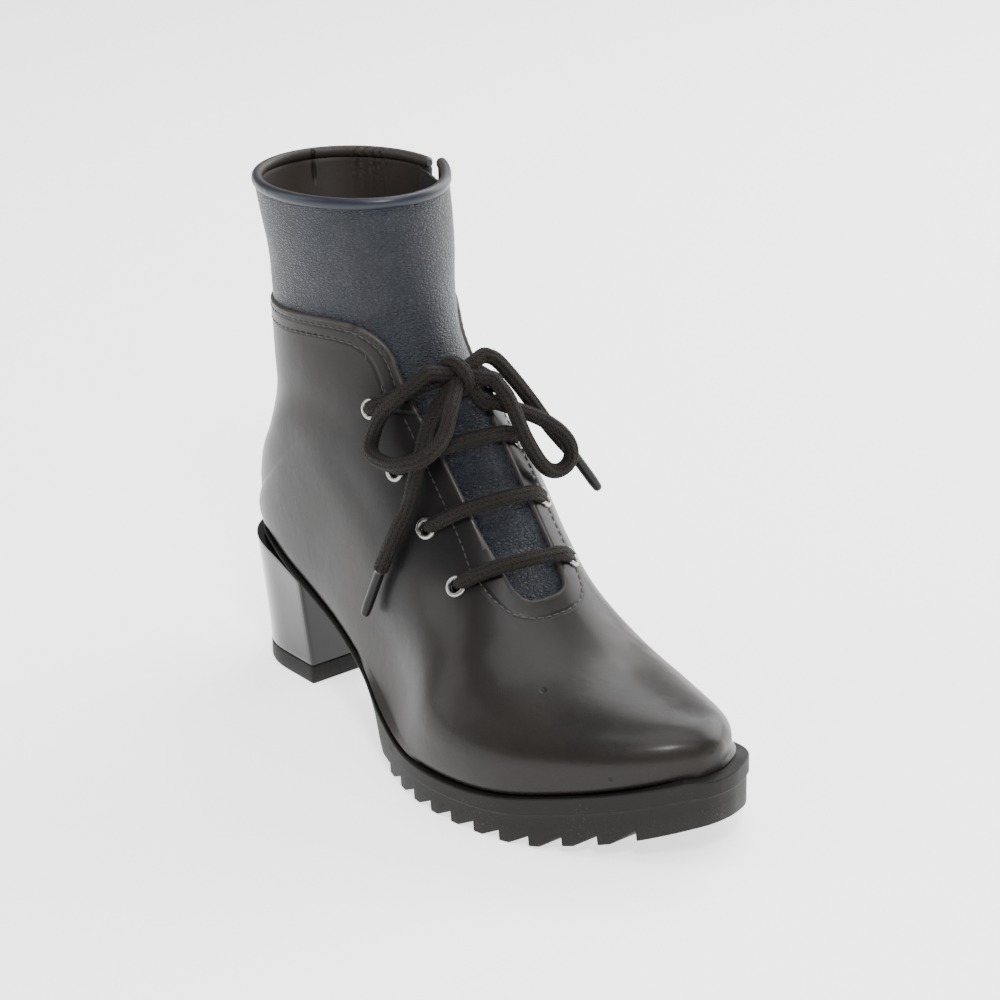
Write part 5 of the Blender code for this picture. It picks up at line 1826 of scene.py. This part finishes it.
    def bow(self) -> None:
        """The knot, the two loops, the two ends and their aglets."""
        _, down, out = self.pattern.instep()
        centre = np.array(self.knot)
        across = np.array([0.0, 1.0, 0.0])
        wrap = []
        for turn in np.linspace(-0.62 * math.pi, 0.62 * math.pi, 9):
            wrap.append(tuple(
                centre + out * (5.4 * math.cos(turn) - 0.6) + down * 4.9 * math.sin(turn) + across * (1.2 * turn - 0.5)
            ))
        strands = [self.strand(wrap)]
        for route, bend in (
            (self.left_loop, 0.5), (self.left_loop[::-1], 0.4), (self.left_end, 0.3),
            (self.right_loop, 0.5), (self.right_loop[::-1], 0.3), (self.right_end, 0.5),
        ):
            lead = smooth_route(route, self.step)[: self.overlap]
            begin = lead[0]
            inner = centre + (begin - centre) * 0.15
            middle = (begin + inner) / 2 + out * bend
            strands.append(self.strand([lead[-1], lead[len(lead) // 2], begin, middle, inner]))
        self.lay("bow_knot", strands, ["lace_knot"])
        for side, route in (("lateral", self.left_loop), ("medial", self.right_loop)):
            piece = self.lay(f"braided_loop_{side}", [self.strand(route)], [f"lace_loop_{side}"])
        for side, route, tip in (
            ("lateral", self.left_end, self.left_aglet), ("medial", self.right_end, self.right_aglet),
        ):
            path = smooth_route(tip, 0.5)
            share = np.linspace(0, 1, len(path))
            radii = 1.95 - 0.25 * ease(share, 0.75, 1.0) - 0.5 * ease(share, 0.96, 1.0)
            radii = radii + 0.55 * (1 - ease(share, 0.0, 0.08))
            points, faces, layers = tube(path, radii, 24)
            mesh = new_mesh(f"sleeve_{side}", points, faces, layers)
            sleeve = add_piece(f"sleeve_{side}", mesh, [self.wardrobe.aglet], [f"aglet_{side}"])
            piece = self.lay(f"braided_end_{side}", [self.strand(route)], [f"lace_end_{side}"])


@dataclass
class Bottom:
    """The outsole, the heel block with its top lift, and the insole's finish."""

    last: LastForm
    wardrobe: Wardrobe
    out: float = 4.2
    wall: float = 3.4
    rand: float = 2.5
    plan: Tuple[Row, ...] = PLAN_TO_BALL + (
        (191.0, 30.0, 32.5), (206.0, 19.0, 28.0), (215.5, 9.8, 21.0), (220.5, 2.5, 13.0),
        (222.2, -0.8, 8.2), (222.6, -4.0, 4.0),
    )
    underside: Tuple[Row, ...] = (
        (-30.0, 59.0), (22.0, 44.0), (48.0, 33.0), (70.0, 24.5), (79.0, 20.0), (85.0, 12.5), (90.0, 5.5),
        (97.0, 1.2), (105.0, 0.0), (168.0, 0.0), (188.0, 3.0), (208.0, 8.0), (230.0, 15.5),
    )
    lug_first: float = 89.0
    lug_pitch: float = 11.0
    lug_count: int = 11
    lug_land: float = 3.2
    lug_depth: float = 4.0
    heel_back: float = 22.5
    heel_front: float = 21.0
    heel_half: float = 24.4
    top_lift: float = 7.5
    end_run: float = 26.0
    round_run: float = 24.0
    station: float = 2.2
    square: float = 0.87

    def top(self, x: Array) -> Array:
        """Height of the outsole's top at x."""
        slope = (self.last.feather_at(x + 1.0) - self.last.feather_at(x - 1.0)) / 2
        return self.last.feather_at(x) - self.wall * np.hypot(1.0, slope)

    def low(self, x: Array) -> Array:
        """Height of the outsole's underside, without its lugs.

        Args:
            x: where to read it.

        Returns:
            The height there.
        """
        rand = self.top(x) - self.rand
        under = np.maximum(self.last.read(self.underside, x)[..., 0], 0.0)
        return np.where(x <= self.heel_front, rand, np.minimum(rand, under))

    def build(self) -> None:
        """Build and dress the parts underneath."""
        self.outsole()
        self.heel()
        for slot in bpy.data.objects["insole"].material_slots:
            slot.material = self.wardrobe.insole

    def outsole(self) -> None:
        """The moulded outsole with its lip, moulding line and lugs."""
        form = replace(self.last, plan=self.plan)
        back, tip = form.ends(self.out)
        notches = {}
        for k in range(self.lug_count):
            start = self.lug_first + k * self.lug_pitch
            notches[start] = 0.0
            notches[start + self.lug_land] = 0.0
            notches[start + self.lug_pitch - 0.3] = self.lug_depth
        notches[self.lug_first + self.lug_count * self.lug_pitch] = 0.0
        keys = sorted(notches)
        turn = np.linspace(0, math.pi / 2, 22)
        stations = list(back + self.round_run * (1 - np.cos(turn)))
        stations += list(np.arange(back + self.end_run, tip - self.end_run, self.station))
        stations += list(tip - self.end_run + self.end_run * np.sin(turn)) + keys
        xs = np.array(sorted(set(np.round(stations, 3))))
        cut = np.interp(xs, keys, [notches[key] for key in keys], left=0.0, right=0.0)
        top, low = self.top(xs), self.low(xs)
        tall = top - low
        profile = [
            (6.0, 0.0, 0.0), (1.0, 0.0, 0.0), (0.35, 0.0, -0.12), (0.0, 0.0, -0.55), (0.0, 0.33, 0.0),
            (0.45, 0.35, 0.0), (0.75, 0.37, -0.1), (0.8, 0.4, -0.2), (0.8, 0.6, 0.0), (0.85, 1.0, 0.7),
            (1.0, 1.0, 0.25), (1.4, 1.0, 0.0), (6.0, 1.0, 0.0),
        ]
        ends = ease(np.minimum(xs - back, tip - xs), 0.0, self.round_run)
        lines = []
        for inset, share, shift in profile:
            shrink = np.where(xs < 100, 1.0, -1.0) * inset * (1 - ends)
            own_back, own_tip = form.ends(self.out - inset)
            at = np.clip(xs + shrink, own_back, own_tip)
            lateral, medial = form.plan_out(at, self.out - inset)
            middle = (lateral + medial) / 2
            lateral, medial = np.minimum(lateral, middle), np.maximum(medial, middle)
            lateral[[0, -1]] = medial[[0, -1]] = middle[[0, -1]]
            height = top - share * tall + np.clip(shift, -0.2 * tall, 0.3 * tall) + (cut if share == 1.0 else 0.0)
            lines.append((np.stack([at, medial, height], 1), np.stack([at, lateral, height], 1)))
        rings = np.stack([line[0] for line in lines] + [line[1] for line in lines[::-1]], 1)
        mesh = new_mesh("moulded_outsole", rings.reshape(-1, 3), bands(*rings.shape[:2]), angle=35.0)
        add_piece("moulded_outsole", mesh, [self.wardrobe.rubber], ["outsole"])

    def d_ring(self, back: float, front: float, half: float, height: Callable[[Array], Array],
               soften: float = 0.0) -> Array:
        """Draw a D-shaped ring: a round back and a straight breast.

        Args:
            back: x of its back.
            front: x of its breast.
            half: half its width.
            height: gives each point's z from its x.
            soften: how far the whole ring is drawn in.

        Returns:
            The ring's points.
        """
        middle = back + 0.6 * (front - back)
        turn = np.linspace(math.pi / 2, 3 * math.pi / 2, 49)
        cos, sin = np.cos(turn), np.sin(turn)
        x = middle + (middle - back - soften) * np.sign(cos) * np.abs(cos) ** self.square
        y = (half - soften) * np.sign(sin) * np.abs(sin) ** self.square
        sides = np.linspace(middle + 1.0, front - soften - 1.2, 8)
        corner = np.array([front - soften - 0.6, front - soften - 0.12, front - soften])
        inset = np.array([0.1, 0.45, 1.1])
        breast = np.linspace(half - soften - 2.0, -(half - soften - 2.0), 9)
        x = np.concatenate([corner[::-1], sides[::-1], x, sides, corner, np.full(9, front - soften)])
        y = np.concatenate([
            half - soften - inset[::-1], np.full(8, half - soften), y, np.full(8, soften - half),
            soften - half + inset, breast[::-1],
        ])
        return np.stack([x, y, height(x)], 1)

    def heel(self) -> None:
        """The lacquered block and its top lift."""
        seat_back, _ = self.last.ends(self.out)
        lateral, _ = self.last.plan_out(np.array([self.heel_front]), 0.0)
        seat_half = -float(lateral[0]) + self.out - 1.0
        floor = self.top_lift + 0.25
        levels = [(0.0, 0.5), (0.006, 0.12)] + [(share, 0.0) for share in np.linspace(0.02, 0.985, 26)]
        rings = []
        for share, soften in levels + [(0.997, 0.1), (1.0, 0.4)]:
            spread = share**1.4
            back = -self.heel_back + (seat_back + 0.8 + self.heel_back) * spread
            half = self.heel_half + (seat_half - self.heel_half) * spread
            waist = 0.7 * math.sin(math.pi * share)
            rings.append(self.d_ring(
                back, self.heel_front - waist, half,
                lambda x: floor + (self.low(np.minimum(x, self.heel_front)) - 0.1 - floor) * share, soften,
            ))
        self.stack("lacquered_heel", rings, self.wardrobe.lacquer, "heel_block", "heel_lacquer")
        foot = [
            self.d_ring(-self.heel_back, self.heel_front, self.heel_half, lambda x, z=z: np.full(len(x), z), soften)
            for z, soften in ((0.0, 0.7), (0.2, 0.25), (0.7, 0.0), (3.5, 0.0), (6.9, 0.0), (7.3, 0.15), (7.5, 0.5))
        ]
        self.stack("rubber_top_lift", foot, self.wardrobe.lift, "heel_top_lift", "lift_rubber")

    def stack(self, name: str, rings: List[Array], finish: Material, node: str, slot: str) -> None:
        """Make a piece from rings.

        Args:
            name: the piece's name.
            rings: its rings of points, from one end to the other.
            finish: its material.
            node: the solid that it stands for.
            slot: not used.
        """
        faces = bands(len(rings), len(rings[0])) + end_faces(len(rings), len(rings[0]))
        add_piece(name, new_mesh(name, np.vstack(rings), faces, angle=35.0), [finish], [node])


@dataclass
class SideZip:
    """The zip on the medial side: its coil, and the finishes of its tape, slider and pull tab."""

    last: LastForm
    pattern: Pattern
    wardrobe: Wardrobe
    pitch: float = 1.25
    half: float = 2.3
    radius: float = 0.52
    proud: float = 0.95
    chain_end: float = 0.855
    stagger: float = 0.5
    cast: float = 90.0
    swell: Row = (0.45, 0.9, 1.0, 1.0, 1.0, 0.9, 0.45)

    def build(self) -> None:
        """Dress the zip's solids and add its coil."""
        nickel = self.wardrobe.nickel
        for node, finish in (("zip", self.wardrobe.tape), ("zip_slider", nickel), ("zip_pull", nickel)):
            for slot in bpy.data.objects[node].material_slots:
                slot.material = finish
        tree = self.last.tree(0.0)
        top, bottom = np.array(self.pattern.zip_top), np.array(self.pattern.zip_bottom)
        up = (top - bottom) / np.linalg.norm(top - bottom)
        across = np.array([up[1], 0.0, -up[0]])
        length = float(np.linalg.norm(top - bottom)) * self.chain_end
        parts = []
        for number in range(int(length / self.pitch)):
            flat = bottom + up * number * self.pitch
            hit = tree.ray_cast(Vector((flat[0], self.cast, flat[1])), Vector((0, -1, 0)))[0]
            if hit is None:
                continue
            centre = np.array(hit) + np.array([0.0, self.proud, 0.0])
            aside = self.stagger if number % 2 else -self.stagger
            ends = np.array([centre - across * (self.half - aside), centre + across * (self.half + aside)])
            path = ends[0] + np.linspace(0, 1, len(self.swell))[:, None] * (ends[1] - ends[0])
            radii = self.radius * np.array(self.swell)
            parts.append(tube(path, radii, 8))
        points, faces, _ = merged(parts)
        add_piece("zip_coil", new_mesh("zip_coil", points, faces), [self.wardrobe.teeth])


@dataclass(frozen=True)
class SoftBox:
    """One lamp: its place and size in metres and its power in watts."""

    name: str
    place: Row
    size: Row
    power: float


@dataclass
class Studio:
    """The camera at the photograph's angle, a pale floor and soft light."""

    around: float = 37.42
    above: float = 22.89
    distance: float = 1172.48
    target: Row = (102.55, 6.71, 94.92)
    roll: float = -1.55
    lens: float = 116.2145
    surround: float = 0.42
    floor_glow: float = 1.6
    floor_half: float = 40.0
    floor_tone: float = 0.84
    sensor: float = 36.0
    aim: Row = (0.1, 0.0, 0.08)
    lamps: Tuple[SoftBox, ...] = (
        SoftBox("top_box", (0.3, 0.02, 1.5), (1.0, 0.9), 15.0),
        SoftBox("left_box", (-0.75, -1.0, 0.75), (0.6, 1.2), 9.0),
        SoftBox("right_box", (0.1, 1.3, 0.75), (1.3, 1.2), 34.0),
        SoftBox("key_lamp", (0.854, -0.404, 0.98), (0.19, 0.19), 12.0),
        SoftBox("back_box", (-0.42, 0.72, 1.05), (0.55, 0.5), 8.0),
    )

    def build(self) -> None:
        """Set up the camera, the floor, the world and the lights."""
        al, el, roll = (math.radians(value) for value in (self.around, self.above, self.roll))
        back = Vector((math.cos(el) * math.cos(al), -math.cos(el) * math.sin(al), math.sin(el)))
        right = Vector((math.sin(al), math.cos(al), 0.0))
        up = back.cross(right)
        up = up if up.z > 0 else -up
        right, up = right * math.cos(roll) + up * math.sin(roll), up * math.cos(roll) - right * math.sin(roll)
        data = bpy.data.cameras.new("camera")
        data.lens, data.sensor_width = self.lens, self.sensor
        data.clip_start, data.clip_end = 0.05, 50.0
        camera = bpy.data.objects.new("camera", data)
        matrix = Matrix((right, up, back)).transposed().to_4x4()
        matrix.translation = (Vector(self.target) + back * self.distance) * MM
        camera.matrix_world = matrix
        bpy.context.scene.collection.objects.link(camera)
        bpy.context.scene.camera = camera
        self.floor()
        self.light()

    def floor(self) -> None:
        """A plain pale floor."""
        mesh = bpy.data.meshes.new("floor")
        half, under = self.floor_half, -0.0002
        corners = [(-half, -half, under), (half, -half, under), (half, half, under), (-half, half, under)]
        mesh.from_pydata(corners, [], [[0, 1, 2, 3]])
        finish = bpy.data.materials.new("pale_floor")
        finish.use_nodes = True
        shader = finish.node_tree.nodes["Principled BSDF"]
        shader.inputs["Base Color"].default_value = (self.floor_tone, self.floor_tone, self.floor_tone, 1.0)
        shader.inputs["Roughness"].default_value = 0.7
        shader.inputs["Specular IOR Level"].default_value = 0.1
        shader.inputs["Emission Color"].default_value = (1.0, 1.0, 1.0, 1.0)
        shader.inputs["Emission Strength"].default_value = self.floor_glow
        mesh.materials.append(finish)
        floor = bpy.data.objects.new("floor", mesh)
        bpy.context.scene.collection.objects.link(floor)

    def light(self) -> None:
        """A white surround and soft boxes."""
        world = bpy.data.worlds.new("surround")
        world.use_nodes = True
        world.node_tree.nodes["Background"].inputs["Color"].default_value = (1.0, 1.0, 1.0, 1.0)
        world.node_tree.nodes["Background"].inputs["Strength"].default_value = self.surround
        bpy.context.scene.world = world
        for box in self.lamps:
            data = bpy.data.lights.new(box.name, "AREA")
            data.shape, data.size, data.size_y, data.energy = "RECTANGLE", box.size[0], box.size[1], box.power
            lamp = bpy.data.objects.new(box.name, data)
            lamp.location = box.place
            aim = Vector(self.aim) - Vector(box.place)
            lamp.rotation_mode = "QUATERNION"
            lamp.rotation_quaternion = aim.to_track_quat("-Z", "Y")
            bpy.context.scene.collection.objects.link(lamp)


def main() -> None:
    """Dress the boot, one sub-assembly after the other."""
    logging.basicConfig(level=logging.INFO, format="%(message)s")
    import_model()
    Studio().build()
    last, pattern, wardrobe = LastForm().build(), Pattern(), Wardrobe()
    lacing = Lacing(last, pattern, wardrobe)
    for part in (
        lacing,
        BootLeather(last, pattern, wardrobe, seats=tuple(lacing.seats())),
        CollarBinding(last, pattern, wardrobe),
        Bottom(last, wardrobe),
        SideZip(last, pattern, wardrobe),
    ):
        LOG.info("building %s", type(part).__name__)
        part.build()
    LOG.info("the boot is dressed")


if __name__ == "__main__":
    main()
